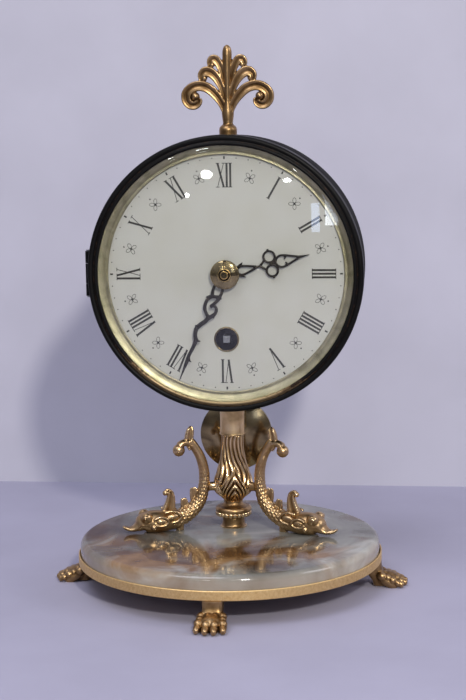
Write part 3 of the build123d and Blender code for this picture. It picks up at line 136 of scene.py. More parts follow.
class ClockColours(bpy.types.PropertyGroup):
    """Main colours of the clock's finishes."""

    brass_high: colour("#D8BC92", "Cast brass", "Rubbed crests of the brass castings")
    # Brass hollows is both the dirt and the painted shade laid into the castings' hollows and the nut's
    # channel
    brass_low: colour("#3A2716", "Brass hollows", "Old lacquer and dirt in the hollows of the castings")
    polish: colour("#D2B072", "Polished brass", "Turned and polished brass")
    lacquer: colour("#0D0C0B", "Black lacquer", "Drum and bezel")
    dial: colour("#C8C3BB", "Dial paint", "Cream paint of the dial")
    ink: colour("#191613", "Dial ink", "Numerals and dots")
    stone: colour("#6E6D67", "Onyx", "Main colour of the stone")


def sizes():
    return bpy.context.scene.clock_sizes


def colours():
    return bpy.context.scene.clock_colours


# Materials

METAL = {"Metallic": 1.0}


def per_mm(size):
    """Pattern scale that repeats about once every size millimetres."""
    return 1 / (size * MM)


def carried(low, high, start=0.0, end=1.0):
    """Settings of a Map Range node that carries low and high to start and end."""
    return {"From Min": low, "From Max": high, "To Min": start, "To Max": end}


def wire(tree, node, links):
    """Links sockets to a node's inputs."""
    for key, socket in links.items():
        tree.links.new(socket, node.inputs[key])


def add_node(tree, kind, settings=None, links=None):
    """Adds a node; settings go to its properties, ramp stops or inputs, links to its inputs."""
    node = tree.nodes.new(kind)
    for key, value in (settings or {}).items():
        if key == "ramp":
            stops = node.color_ramp.elements
            while len(stops) < len(value):
                stops.new(1)
            for stop, (place, shade) in zip(stops, value):
                stop.position = place
                stop.color = linear(shade) if isinstance(shade, str) else shade
        elif isinstance(key, str) and hasattr(node, key):
            setattr(node, key, value)
        else:
            node.inputs[key].default_value = value
    wire(tree, node, links or {})
    return node


def blank_material(name, settings):
    """A new material with its shader set up, its node tree and its Object coordinates."""
    material = bpy.data.materials.new(name)
    material.use_nodes = True
    tree = material.node_tree
    shader = tree.nodes["Principled BSDF"]
    for key, value in settings.items():
        shader.inputs[key].default_value = value
    place = add_node(tree, "ShaderNodeTexCoord").outputs["Object"]
    return material, tree, shader, place


def mottled(name, settings, pattern, tones, gloss=None, grit=None, stretch=None):
    """A finish whose tone and gloss wander with one pattern; pattern and grit start with a size in mm."""
    material, tree, shader, place = blank_material(name, settings)
    if stretch:
        place = add_node(tree, "ShaderNodeMapping", {"Scale": stretch}, {"Vector": place}).outputs["Vector"]
    size, detail, roughness = pattern
    cloud = add_node(tree, "ShaderNodeTexNoise",
                     {"Scale": per_mm(size), "Detail": detail, "Roughness": roughness},
                     {"Vector": place}).outputs["Fac"]
    tone = add_node(tree, "ShaderNodeValToRGB", {"ramp": tones}, {"Fac": cloud})
    wire(tree, shader, {"Base Color": tone.outputs["Color"]})
    if gloss:
        sheen = add_node(tree, "ShaderNodeMapRange", carried(0.3, 0.7, *gloss), {"Value": cloud})
        wire(tree, shader, {"Roughness": sheen.outputs["Result"]})
    if grit:
        size, detail, roughness, strength, depth = grit
        grain = add_node(tree, "ShaderNodeTexNoise",
                         {"Scale": per_mm(size), "Detail": detail, "Roughness": roughness},
                         {"Vector": place}).outputs["Fac"]
        bump = add_node(tree, "ShaderNodeBump", {"Strength": strength, "Distance": depth * MM},
                        {"Height": grain})
        wire(tree, shader, {"Normal": bump.outputs["Normal"]})
    return material


def cast_brass():
    """Sand-cast brass under worn gilding: bright crests, hollows darkened by dirt and painted shade, a
    faintly grainy skin.
    """
    material, tree, shader, place = blank_material("cast_brass", METAL)
    recess = add_node(tree, "ShaderNodeAttribute", {"attribute_name": "recess"}).outputs["Fac"]
    cloud = add_node(tree, "ShaderNodeTexNoise", {"Scale": per_mm(6), "Detail": 5.0, "Roughness": 0.6},
                     {"Vector": place}).outputs["Fac"]
    grain = add_node(tree, "ShaderNodeTexNoise", {"Scale": per_mm(0.7), "Detail": 3.0},
                     {"Vector": place}).outputs["Fac"]
    # Tarnish clouds plus the hollow mark, which paints dirt and shade into the hollows
    grime_and_shade = add_node(tree, "ShaderNodeMath", {"operation": "MULTIPLY_ADD", 1: 0.5},
                    {0: cloud, 2: recess}).outputs[0]
    tone = add_node(tree, "ShaderNodeValToRGB", {"ramp": [
        (0.30, colours().brass_high), (0.62, "#B09066"), (0.82, "#765A38"), (1.0, colours().brass_low)]},
        {"Fac": grime_and_shade})
    gloss = add_node(tree, "ShaderNodeMapRange", carried(0.3, 0.9, 0.2, 0.44), {"Value": grime_and_shade})
    bump = add_node(tree, "ShaderNodeBump", {"Strength": 0.25, "Distance": 0.12 * MM}, {"Height": grain})
    wire(tree, shader, {"Base Color": tone.outputs["Color"], "Roughness": gloss.outputs["Result"],
                        "Normal": bump.outputs["Normal"]})
    return material


def rubbed_brass(name, dull, clean, bright, matt, glossy):
    """Smooth brass, with bloom where fingers and air have dulled it, and dirt with painted shade in its
    steps.
    """
    material, tree, shader, place = blank_material(name, METAL)
    recess = add_node(tree, "ShaderNodeAttribute", {"attribute_name": "recess"}).outputs["Fac"]
    bloom = add_node(tree, "ShaderNodeTexNoise", {"Scale": per_mm(9), "Detail": 4.0, "Distortion": 0.6},
                     {"Vector": place}).outputs["Fac"]
    shade = add_node(tree, "ShaderNodeValToRGB", {"ramp": [(0.34, dull), (0.5, clean), (0.72, bright)]},
                     {"Fac": bloom})
    # Marked steps darken towards the hollow colour: dirt and painted shade
    grime_and_shade = add_node(tree, "ShaderNodeMapRange", carried(0.4, 0.8), {"Value": recess})
    tone = add_node(tree, "ShaderNodeMix", {"data_type": "RGBA", "B": colours().brass_low},
                    {"Factor": grime_and_shade.outputs["Result"], "A": shade.outputs["Color"]})
    gloss = add_node(tree, "ShaderNodeMapRange", carried(0.3, 0.7, matt, glossy), {"Value": bloom})
    wire(tree, shader, {"Base Color": tone.outputs["Result"], "Roughness": gloss.outputs["Result"]})
    return material


def lacquer(name, glossy, matt):
    """Black lacquer over sheet metal, worn to brown and then to bare metal where "wear" is high."""
    material, tree, shader, place = blank_material(name, {"Specular IOR Level": 0.12})
    wear = add_node(tree, "ShaderNodeAttribute", {"attribute_name": "wear"}).outputs["Fac"]
    chips = add_node(tree, "ShaderNodeTexNoise", {"Scale": per_mm(1.6), "Detail": 5.0, "Roughness": 0.7},
                     {"Vector": place}).outputs["Fac"]
    worn = add_node(tree, "ShaderNodeMath", {"operation": "MULTIPLY"}, {0: wear, 1: chips}).outputs[0]
    tone = add_node(tree, "ShaderNodeValToRGB", {"ramp": [
        (0.30, colours().lacquer), (0.42, "#2E2016"), (0.52, "#645039"), (0.62, "#93805F")]}, {"Fac": worn})
    bare = add_node(tree, "ShaderNodeMapRange", carried(0.4, 0.55), {"Value": worn})
    dust = add_node(tree, "ShaderNodeTexNoise", {"Scale": per_mm(14), "Detail": 3.0},
                    {"Vector": place}).outputs["Fac"]
    gloss = add_node(tree, "ShaderNodeMapRange", carried(0.3, 0.7, glossy, matt), {"Value": dust})
    wire(tree, shader, {"Metallic": bare.outputs["Result"], "Base Color": tone.outputs["Color"],
                        "Roughness": gloss.outputs["Result"]})
    return material


# Where the slab is browner: middle and reach of each patch in millimetres, and its strength
RUST_PATCHES = (((16, -34, 20), (52, 30, 30), 0.38), ((-36, -42, 20), (54, 32, 30), 0.34),
                ((-60, 4, 20), (38, 46, 30), 0.38))


def banded_onyx():
    """Cave onyx, sawn and polished: cloudy grey-green, rust-brown swirls, and a painted pale glow on its
    rounded edge standing in for light through the thin stone.
    """
    material, tree, shader, place = blank_material("banded_onyx", {"IOR": 1.55})
    bed = add_node(tree, "ShaderNodeMapping", {"Rotation": (0.3, 0.5, 0.6)},
                   {"Vector": place}).outputs["Vector"]
    cloud = add_node(tree, "ShaderNodeTexNoise", {"Scale": per_mm(52), "Detail": 5.0, "Distortion": 1.2},
                     {"Vector": bed}).outputs["Fac"]
    veins = add_node(tree, "ShaderNodeTexNoise", {"Scale": per_mm(44), "Detail": 4.0, "Distortion": 2.2},
                     {"Vector": bed}).outputs["Fac"]
    stone = add_node(tree, "ShaderNodeValToRGB", {"ramp": [
        (0.28, "#4A463D"), (0.42, colours().stone), (0.52, "#83827A"), (0.60, "#A7A69E"), (0.70, "#6C6B63")]},
        {"Fac": cloud})
    rust = add_node(tree, "ShaderNodeValToRGB", {"ramp": [
        (0.34, "#33200F"), (0.5, "#604326"), (0.64, "#8E6D47")]}, {"Fac": cloud})
    for centre, reach, strength in RUST_PATCHES:
        within = add_node(tree, "ShaderNodeMapping", {
            "vector_type": "TEXTURE", "Location": Vector(centre) * MM, "Scale": Vector(reach) * MM},
            {"Vector": place}).outputs["Vector"]
        patch = add_node(tree, "ShaderNodeTexGradient", {"gradient_type": "SPHERICAL"},
                         {"Vector": within}).outputs["Fac"]
        veins = add_node(tree, "ShaderNodeMath", {"operation": "MULTIPLY_ADD", 1: strength},
                         {0: patch, 2: veins}).outputs[0]
    share = add_node(tree, "ShaderNodeMapRange", carried(0.50, 0.78), {"Value": veins})
    swirled = add_node(tree, "ShaderNodeMix", {"data_type": "RGBA"}, {
        "Factor": share.outputs["Result"], "A": stone.outputs["Color"], "B": rust.outputs["Color"]})
    # The rounded edge and side are painted paler: a painted glow for light through the stone
    edge = add_node(tree, "ShaderNodeAttribute", {"attribute_name": "edge"}).outputs["Fac"]
    painted_edge_glow = add_node(tree, "ShaderNodeMath", {"operation": "MULTIPLY", 1: 0.4}, {0: edge})
    tone = add_node(tree, "ShaderNodeMix", {"data_type": "RGBA", "B": linear("#BFAE96")},
                    {"Factor": painted_edge_glow.outputs[0], "A": swirled.outputs["Result"]})
    gloss = add_node(tree, "ShaderNodeMapRange", carried(0.3, 0.7, 0.08, 0.14), {"Value": cloud})
    wire(tree, shader, {"Base Color": tone.outputs["Result"], "Roughness": gloss.outputs["Result"]})
    return material


def domed_glass():
    """Blown clock glass, clear with a faint smear; light passes on to the dial without a dark shadow."""
    material, tree, shader, place = blank_material(
        "domed_glass", {"Transmission Weight": 1.0, "IOR": 1.48, "Base Color": linear("#F6F8F6")})
    smear = add_node(tree, "ShaderNodeTexNoise", {"Scale": per_mm(20), "Detail": 3.0},
                     {"Vector": place}).outputs["Fac"]
    gloss = add_node(tree, "ShaderNodeMapRange", carried(0.45, 0.8, 0.0, 0.05), {"Value": smear})
    wire(tree, shader, {"Roughness": gloss.outputs["Result"]})
    path = add_node(tree, "ShaderNodeLightPath")
    passing = add_node(tree, "ShaderNodeMath", {"operation": "MAXIMUM"},
                       {0: path.outputs["Is Shadow Ray"], 1: path.outputs["Is Diffuse Ray"]})
    clear = add_node(tree, "ShaderNodeBsdfTransparent", {"Color": linear("#F4F6F4")})
    mix = add_node(tree, "ShaderNodeMixShader", None,
                   {0: passing.outputs[0], 1: shader.outputs["BSDF"], 2: clear.outputs["BSDF"]})
    wire(tree, tree.nodes["Material Output"], {"Surface": mix.outputs["Shader"]})
    return material


# Patterns that more than one finish has: size in millimetres, detail, roughness
TURNING_LINES = (3, 6.0, 0.7)
SPECKS = (1.3, 4.0, 0.7)

FINISHES = {
    "cast_brass": cast_brass,
    # Rolled brass strip, satin and tan, with a few dark specks where its varnish has gone
    "strip_brass": lambda: mottled(
        "strip_brass", METAL, SPECKS,
        [(0.26, "#8E6C42"), (0.34, "#D8B47A"), (0.6, "#E6C68C"), (0.75, "#EFD39C")],
        (0.6, 0.48), (*SPECKS, 0.2, 0.1)),
    # Brass turned bright in the lathe
    "turned_brass": lambda: rubbed_brass("turned_brass", "#A5844C", colours().polish, "#E0C48C", 0.27, 0.12),
    # Brass tube rubbed down, with a soft sheen
    "satin_brass": lambda: rubbed_brass("satin_brass", "#B89A6C", "#DEBE8C", "#EED4A8", 0.38, 0.28),
    # Polished brass that has toned to olive brown
    "toned_brass": lambda: rubbed_brass("toned_brass", "#6E5F47", "#988562", "#B6A27C", 0.2, 0.1),
    # Thin pale gilding over pressed brass
    "pale_gilt": lambda: rubbed_brass("pale_gilt", "#7C755C", "#948C72", "#A89F86", 0.46, 0.36),
    # Rolled brass plate and cut wheels, grained with stone and varnished
    "plate_brass": lambda: mottled(
        "plate_brass", METAL, (0.5, 3.0, 0.5), [(0.35, "#A8843F"), (0.65, "#C8A35A")], (0.42, 0.28),
        stretch=(1.0, 1.0, 0.08)),
    # Stoved lacquer of the bezel, and the duller one of the drum
    "stoved_lacquer": lambda: lacquer("stoved_lacquer", 0.34, 0.5),
    "matt_lacquer": lambda: lacquer("matt_lacquer", 0.68, 0.82),
    "banded_onyx": banded_onyx,
    # Matt cream paint on a metal plate, a little yellowed and mottled
    "cream_paint": lambda: mottled(
        "cream_paint", {"Roughness": 0.55}, (16, 5.0, 0.5),
        [(0.3, "#C4BFB5"), (0.5, colours().dial), (0.7, "#CAC6BF")], grit=(0.6, 2.0, 0.5, 0.08, 0.05)),
    # Printing ink, black turned slightly brown and thin in places
    "dial_ink": lambda: mottled(
        "dial_ink", {"Roughness": 0.5}, (1.2, 3.0, 0.5), [(0.4, colours().ink), (0.75, "#3A332B")]),
    # Steel stamped and blackened in oil, with a dull brown sheen
    "blacked_steel": lambda: mottled(
        "blacked_steel", {"Metallic": 0.35}, (2.2, 4.0, 0.5),
        [(0.35, "#120D0A"), (0.6, "#1F1712"), (0.78, "#34281F")], (0.28, 0.45)),
    # Ground steel with fine turning lines, then the same near black, for oil and painted shade, and blued by
    # heat
    "turned_steel": lambda: mottled(
        "turned_steel", METAL, TURNING_LINES, [(0.35, "#8E8E90"), (0.65, "#B9B9BA")], (0.4, 0.24)),
    "oil_and_shade_steel": lambda: mottled(
        "oil_and_shade_steel", METAL, TURNING_LINES, [(0.35, "#060607"), (0.65, "#0E0D0E")], (0.4, 0.24)),
    "blued_steel": lambda: mottled(
        "blued_steel", METAL, TURNING_LINES, [(0.35, "#2B3242"), (0.65, "#4A566E")], (0.4, 0.24)),
    "domed_glass": domed_glass,
}


def finish(name):
    """The material of that name, made when it is first asked for."""
    return bpy.data.materials.get(name) or FINISHES[name]()


def dress(material, *nodes):
    """Gives CAD nodes that stay in view their material."""
    for node in nodes:
        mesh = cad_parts[node].data
        mesh.materials.clear()
        mesh.materials.append(finish(material))


# Shaping

# Voxels of the heavy castings, the palmette and the hands
CASTING_VOXEL, PALMETTE_VOXEL, HAND_VOXEL = 0.26, 0.24, 0.13


def about_z(bearing):
    """A turn about the upright axis, in degrees."""
    return Matrix.Rotation(radians(bearing), 4, "Z")


def unit(value):
    """The value kept between 0 and 1."""
    return min(max(value, 0), 1)


def arc(centre, radius, start, end, steps=8):
    """Points of an arc in a turned outline, from one bearing in degrees to another."""
    turns = [radians(start + (end - start) * i / steps) for i in range(steps + 1)]
    return [(centre[0] + radius * cos(t), centre[1] + radius * sin(t)) for t in turns]


def flowing(points, steps):
    """Points along a smooth curve through the given ones, whatever each of them holds."""
    ends = [points[0], *points, points[-1]]
    path = []
    for stretch in zip(ends, ends[1:], ends[2:], ends[3:]):
        for step in range(steps):
            t = step / steps
            path.append(tuple(
                (2 * q + (r - p) * t + (2 * p - 5 * q + 4 * r - s) * t**2
                 + (3 * q - p - 3 * r + s) * t**3) / 2 for p, q, r, s in zip(*stretch)))
    path.append(tuple(points[-1]))
    return path


def turned(outline, closed=True, steps=TURN_STEPS):
    """A mesh of an outline, given as radius and height, turned about the Z axis."""
    bm = bmesh.new()
    verts = [bm.verts.new((radius, 0, height)) for radius, height in outline]
    pairs = list(zip(verts, verts[1:]))
    if closed:
        pairs.append((verts[-1], verts[0]))
    edges = [bm.edges.new(pair) for pair in pairs]
    bmesh.ops.spin(bm, geom=verts + edges, cent=(0, 0, 0), axis=(0, 0, 1), dvec=(0, 0, 0),
                   angle=2 * pi, steps=steps, use_merge=True, use_duplicate=False)
    bmesh.ops.remove_doubles(bm, verts=bm.verts, dist=MERGE)
    bmesh.ops.recalc_face_normals(bm, faces=bm.faces)
    return bm


def level_ring(x, y, height, wide, deep):
    """Place of a level ring for loft, with its half width and half depth."""
    return Matrix.Translation((x, y, height)) @ Matrix.Diagonal((wide, deep, 1, 1))


def loft(bm, rings, segments, relief=None):
    """Skins a run of rings; relief gives the swelling at a share along and a bearing around."""
    ring = bmesh.ops.create_circle(bm, segments=segments, radius=1)["verts"]
    turns = [atan2(vert.co.y, vert.co.x) for vert in ring]
    for index, place in enumerate(rings):
        edges = [bm.edges.get(pair) for pair in zip(ring, ring[1:] + ring[:1])]
        if index == 0:
            bmesh.ops.contextual_create(bm, geom=edges)
        else:
            grown = bmesh.ops.extrude_edge_only(bm, edges=edges)["geom"]
            fresh = {part for part in grown if isinstance(part, bmesh.types.BMVert)}
            ring = [next(edge.other_vert(vert) for edge in vert.link_edges if edge.other_vert(vert) in fresh)
                    for vert in ring]
        share = index / (len(rings) - 1)
        for vert, turn in zip(ring, turns):
            swell = relief(share, turn) if relief else 1
            vert.co = place @ Vector((cos(turn) * swell, sin(turn) * swell, 0))
    edges = [bm.edges.get(pair) for pair in zip(ring, ring[1:] + ring[:1])]
    bmesh.ops.contextual_create(bm, geom=edges)
    bmesh.ops.recalc_face_normals(bm, faces=bm.faces)


def strand(bm, stations, plane, steps=6, segments=12, relief=None):
    """A limb along a plane curve; each station is across, up, half width and half depth."""
    path = flowing(stations, steps)
    rings = []
    for index, (across, up, wide, deep) in enumerate(path):
        back = path[max(index - 1, 0)]
        ahead = path[min(index + 1, len(path) - 1)]
        along = Vector((ahead[0] - back[0], ahead[1] - back[1], 0)).normalized()
        ring = Matrix((Vector((along.y, -along.x, 0)) * wide, Vector((0, 0, deep)), along)).transposed()
        rings.append(plane @ Matrix.Translation((across, up, 0)) @ ring.to_4x4())
    loft(bm, rings, segments, relief)


def smooth(bm):
    bmesh.ops.smooth_vert(bm, verts=bm.verts, factor=0.5, use_axis_x=True, use_axis_y=True, use_axis_z=True)


def cast(bm, voxel):
    """Draws one closed skin over lumps that run into each other, as a casting has."""
    blank = bpy.data.objects.new("blank", bpy.data.meshes.new("blank"))
    bm.to_mesh(blank.data)
    bpy.context.scene.collection.objects.link(blank)
    skin = blank.modifiers.new("skin", "REMESH")
    skin.mode = "VOXEL"
    skin.voxel_size = voxel
    depsgraph = bpy.context.evaluated_depsgraph_get()
    mesh = bpy.data.meshes.new_from_object(blank.evaluated_get(depsgraph))
    bm.clear()
    bm.from_mesh(mesh)
    bpy.data.meshes.remove(mesh)
    bpy.data.meshes.remove(blank.data)
    smooth(bm)


def mark_hollows(bm, rounds, depth, grime_and_shade=0.35):
    """Keeps on each point how far it lies below its smoothed surroundings: 0 a crest, 1 a hollow; finishes
    darken the hollows with it, as dirt and painted shade.
    """
    layer = bm.verts.layers.float.new("recess")
    bm.normal_update()
    kept = [(vert.co.copy(), vert.normal.copy()) for vert in bm.verts]
    for _ in range(rounds):
        smooth(bm)
    for vert, (place, normal) in zip(bm.verts, kept):
        sunk = (vert.co - place).dot(normal) / depth
        vert[layer] = unit(grime_and_shade + sunk)
        vert.co = place


def piece(name, bm, place, body, slot, material, *nodes, crease=38):
    """Makes a finished piece of a mesh: in metres, in its place, on its body, with its finish."""
    bmesh.ops.transform(bm, matrix=Matrix.Scale(MM, 4) @ place, verts=bm.verts)
    bmesh.ops.recalc_face_normals(bm, faces=bm.faces)
    mesh = bpy.data.meshes.new(name)
    bm.to_mesh(mesh)
    bm.free()
    mesh.polygons.foreach_set("use_smooth", [True] * len(mesh.polygons))
    mesh.set_sharp_from_angle(angle=radians(crease))
    mesh.materials.append(finish(material))
    made = bpy.data.objects.new(name, mesh)
    bpy.context.scene.collection.objects.link(made)
    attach(made, body)
    if nodes:
        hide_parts(*nodes)


def lump(bm, place, centre, radii, turn=0):
    """An egg-shaped lump for a casting."""
    shape = Matrix.Translation(centre) @ about_z(turn) @ Matrix.Diagonal((*radii, 1))
    bmesh.ops.create_icosphere(bm, subdivisions=3, radius=1, matrix=place @ shape)


def squared(share, turn, power=5):
    """Swelling that makes a round section nearly square."""
    return (abs(cos(turn)) ** power + abs(sin(turn)) ** power) ** (-1 / power)


def flattened(share, turn):
    """Section of a stamped hand: flat faces with eased edges."""
    return squared(share, turn, 3)


def front_and_back(turn, breadth, power=2):
    """A soft bump of the given breadth on the front and back of a section."""
    return exp(-((abs(turn) - pi / 2) / breadth) ** power)


def channelled(share, turn):
    """Strap section with a sunk channel along its front and back between raised edges."""
    return squared(share, turn) * (1 - 0.55 * front_and_back(turn, 0.62, 4))


def ridged(share, turn):
    """A bar with a soft ridge down its front and back above its neck."""
    return 1 + 0.1 * unit((share - 0.35) / 0.1) * front_and_back(turn, 0.35)


# Pieces

# Leg of a paw foot from the band down: radius from the clock's middle, height, half depth, half width
LEG = ((62.9, 11.38, 4.3, 4.4), (62.9, 9.6, 4.3, 4.4), (63.4, 7.6, 4.2, 4.3), (65.2, 5.0, 3.9, 4.3),
       (66.6, 2.6, 3.6, 4.2), (67.0, 0.4, 3.4, 4.0))
# Ball of the foot: its middle; its half length, half width and half height
BALL = ((69.3, 0, 3.0), (5.6, 5.4, 3.6))
# Lumps of a toe from its root to its claw, then its sole: outward, height; half length, height and width
KNUCKLES = ((6.2, 4.9, 2.3, 1.9, 1.85), (8.9, 4.3, 1.7, 1.6, 1.6), (11.0, 3.4, 1.9, 1.75, 1.85),
            (13.3, 2.2, 1.6, 1.45, 1.6), (9.2, 2.3, 4.2, 2.2, 1.8))
CLAW = ((12.6, 2.6, 1.3, 1.3), (14.0, 2.0, 1.4, 1.35), (15.1, 1.6, 1.35, 1.3), (15.8, 1.4, 0.9, 0.9))
# Toes: how many, how far apart, how far they fan out, how far the outer ones stand back, how they droop
TOES, TOE_GAP, TOE_FAN, TOE_SET_BACK, TOE_DROOP = 4, 2.5, 4.5, 0.7, -28

# Onyx slab and the brass band round it: the band's flange under the slab, its sheet, its eased edges and
# its gaps to the slab at the flange, below the lip and at the lip
SLAB_CHAMFER = 0.5
FLANGE, SHEET, BAND_EASE, LIP_DEPTH = 9.0, 1.15, 0.3, 1.2
SEAT_GAP, TURN_GAP, LIP_GAP = 0.05, 0.1, 0.42


def paw_foot(side, bearing):
    """Cast lion's foot: square leg, four toes with two knuckles each, and claws on the table."""
    bm = bmesh.new()
    leg = [level_ring(reach, 0, height, deep, wide) for reach, height, deep, wide in flowing(LEG, 4)]
    loft(bm, leg, segments=32, relief=squared)
    lump(bm, WORLD_FRAME, *BALL)
    root = LEG[0][0]
    for toe in range(TOES):
        across = toe - (TOES - 1) / 2
        place = (Matrix.Translation((root - TOE_SET_BACK * across**2, across * TOE_GAP, 0))
                 @ about_z(across * TOE_FAN) @ UPRIGHT)
        for out, up, long, high, wide in KNUCKLES:
            lump(bm, place, (out, up, 0), (long, high, wide), TOE_DROOP)
        strand(bm, CLAW, place, steps=5, segments=14)
    cast(bm, CASTING_VOXEL)
    for vert in bm.verts:
        vert.co.z = max(vert.co.z, 0)
    mark_hollows(bm, rounds=10, depth=0.7, grime_and_shade=0.48)
    piece("paw_" + side, bm, about_z(bearing), "stand", "gilt_cast_brass", "cast_brass", "paw_foot_" + side)


class CLOCK_OT_base(bpy.types.Operator):
    """Onyx slab, the brass band round it and the paw feet"""

    bl_idname = "clock.base"
    bl_label = "Base"

    def execute(self, context):
        low, high = span("onyx_slab")
        radius = high.x
        rounding = sizes().slab_round / MM
        outline = [(0, low.z), (radius - SLAB_CHAMFER, low.z), (radius, low.z + SLAB_CHAMFER)]
        outline += arc((radius - rounding, high.z - rounding), rounding, 0, 90, steps=12)
        outline.append((0, high.z))
        bm = turned(outline, closed=False)
        # How far down the rounded edge a point lies, for the onyx's painted edge glow
        edge = bm.verts.layers.float.new("edge")
        for vert in bm.verts:
            vert[edge] = min((high.z - vert.co.z) / rounding, 1)
        piece("slab", bm, WORLD_FRAME, "stand", "onyx", "banded_onyx", "onyx_slab", crease=30)

        low, high = span("base_band")
        outer, inner = high.x, radius - FLANGE
        bm = turned([
            (inner, low.z), (outer - BAND_EASE, low.z), (outer, low.z + BAND_EASE),
            (outer, high.z - BAND_EASE), (outer - BAND_EASE, high.z), (radius + LIP_GAP, high.z),
            (radius + TURN_GAP, high.z - LIP_DEPTH), (radius + SEAT_GAP, low.z + SHEET),
            (inner, low.z + SHEET)])
        piece("band", bm, WORLD_FRAME, "stand", "gilt_cast_brass", "strip_brass", "base_band", crease=30)
        for side, bearing in (("right", 0), ("back", 90), ("left", 180), ("front", 270)):
            paw_foot(side, bearing)
        dress("turned_steel", "foot_screws", "base_nut")
        return {"FINISHED"}


# Turned foot of the column, radius and height over its underside: plinth, waist, seat of the bead row,
# middle and radius of the collar's round, neck
PLINTH = ((0, 0), (6.0, 0), (6.1, 0.4))
WAIST = ((5.5, 0.7), (5.15, 1.4), (4.95, 3.4), (5.15, 4.9))
BEAD_SEAT = ((6.4, 5.3), (6.4, 6.5))
COLLAR = ((6.75, 8.1), 1.45)
NECK = ((6.0, 9.7), (4.9, 10.3), (4.3, 11.2))
# Beads of the collar: radius of their circle, height, radius of one and how much taller it is
BEAD_CIRCLE, BEAD_HEIGHT, BEAD_RADIUS, BEAD_STRETCH = 7.15, 6.3, 1.1, 1.2
# Sleeve: radius at its foot, middle and radius of its roll, sides, radius under the drum
SLEEVE_FOOT = 5.55
SLEEVE_ROLL = ((5.5, 0.4), 0.4)
SLEEVE_SIDE = ((5.62, 1.0), (5.5, 4.5), (5.5, 9.0), (5.7, 13.4))
SLEEVE_HEAD = 5.75
# Baluster from its neck to the sleeve: share of its height, radius
BALUSTER = ((0.0, 4.1), (0.05, 5.2), (0.12, 7.6), (0.2, 8.5), (0.28, 8.45), (0.38, 7.8), (0.5, 6.6),
            (0.62, 5.5), (0.78, 4.85), (0.92, 4.75), (1.0, 4.8))
# Leaves round it, veins up a leaf and grooves round its top; their relief as a share of the radius
LEAF_BEARING, LEAVES, VEINS, GROOVES = -78, 4, 8, 16
VEIN_RELIEF, RIB_RELIEF, EDGE_CUT = 0.055, 0.03, 0.05


def acanthus(share, turn):
    """Four leaves with veins that nest as pointed arches, running up into upright grooves."""
    aside = abs((turn / (2 * pi / LEAVES) + 0.5) % 1 - 0.5) * 2
    veins = cos(2 * pi * VEINS * (share + 0.42 * aside**1.3))
    sway = cos(turn * GROOVES + 5 * sin(9 * share))
    upright = unit((share + 0.30 * aside - 0.52) / 0.15)
    relief = veins * (1 - upright) + sway * upright
    fade = min(share / 0.08, (1 - share) / 0.03, 1)
    rib = exp(-(aside / 0.05) ** 2) * (1 - upright)
    edge = exp(-((aside - 1) / 0.10) ** 2)
    return 1 + fade * (VEIN_RELIEF * relief * (1 - rib) + RIB_RELIEF * rib - EDGE_CUT * edge)


class CLOCK_OT_column(bpy.types.Operator):
    """Waisted foot with its bead row, acanthus baluster and plain sleeve"""

    bl_idname = "clock.column"
    bl_label = "Column"

    def execute(self, context):
        low, high = span("column_foot")
        base, rise = low.z, high.z - low.z
        outline = [*PLINTH, *flowing(WAIST, 5), *BEAD_SEAT, *arc(*COLLAR, -60, 90, steps=12)]
        outline += flowing((*NECK, (NECK[-1][0], rise)), 5)
        outline.append((0, rise))
        bm = turned([(reach, base + up) for reach, up in outline], closed=False, steps=SMALL_TURN_STEPS)
        beads = sizes().bead_count
        for bead in range(beads):
            turn = 2 * pi * bead / beads
            place = Matrix.Translation((BEAD_CIRCLE * cos(turn), BEAD_CIRCLE * sin(turn), base + BEAD_HEIGHT))
            bmesh.ops.create_icosphere(bm, subdivisions=2, radius=BEAD_RADIUS,
                                       matrix=place @ Matrix.Diagonal((1, 1, BEAD_STRETCH, 1)))
        mark_hollows(bm, rounds=3, depth=0.5, grime_and_shade=0.46)
        piece("foot_turning", bm, COLUMN_FRAME, "stand", "gilt_cast_brass", "cast_brass", "column_foot")

        low, high = span("column_baluster")
        base, rise = low.z, high.z - low.z
        bm = bmesh.new()
        rings = [level_ring(0, 0, base + rise * up, reach, reach) for up, reach in flowing(BALUSTER, 12)]
        loft(bm, rings, segments=176, relief=acanthus)
        mark_hollows(bm, rounds=12, depth=0.32)
        piece("baluster_leaves", bm, COLUMN_FRAME @ about_z(LEAF_BEARING), "stand", "gilt_cast_brass",
              "cast_brass", "column_baluster", crease=60)

        low, high = span("column_sleeve")
        base, rise = low.z, high.z - low.z
        outline = [(0, 0), (SLEEVE_FOOT, 0), *arc(*SLEEVE_ROLL, -60, 70), *flowing(SLEEVE_SIDE, 4),
                   (SLEEVE_HEAD, rise), (0, rise)]
        bm = turned([(reach, base + up) for reach, up in outline], closed=False, steps=SMALL_TURN_STEPS)
        piece("sleeve", bm, COLUMN_FRAME, "stand", "gilt_cast_brass", "satin_brass", "column_sleeve")
        dress("turned_steel", "tie_rod", "case_nut")
        return {"FINISHED"}


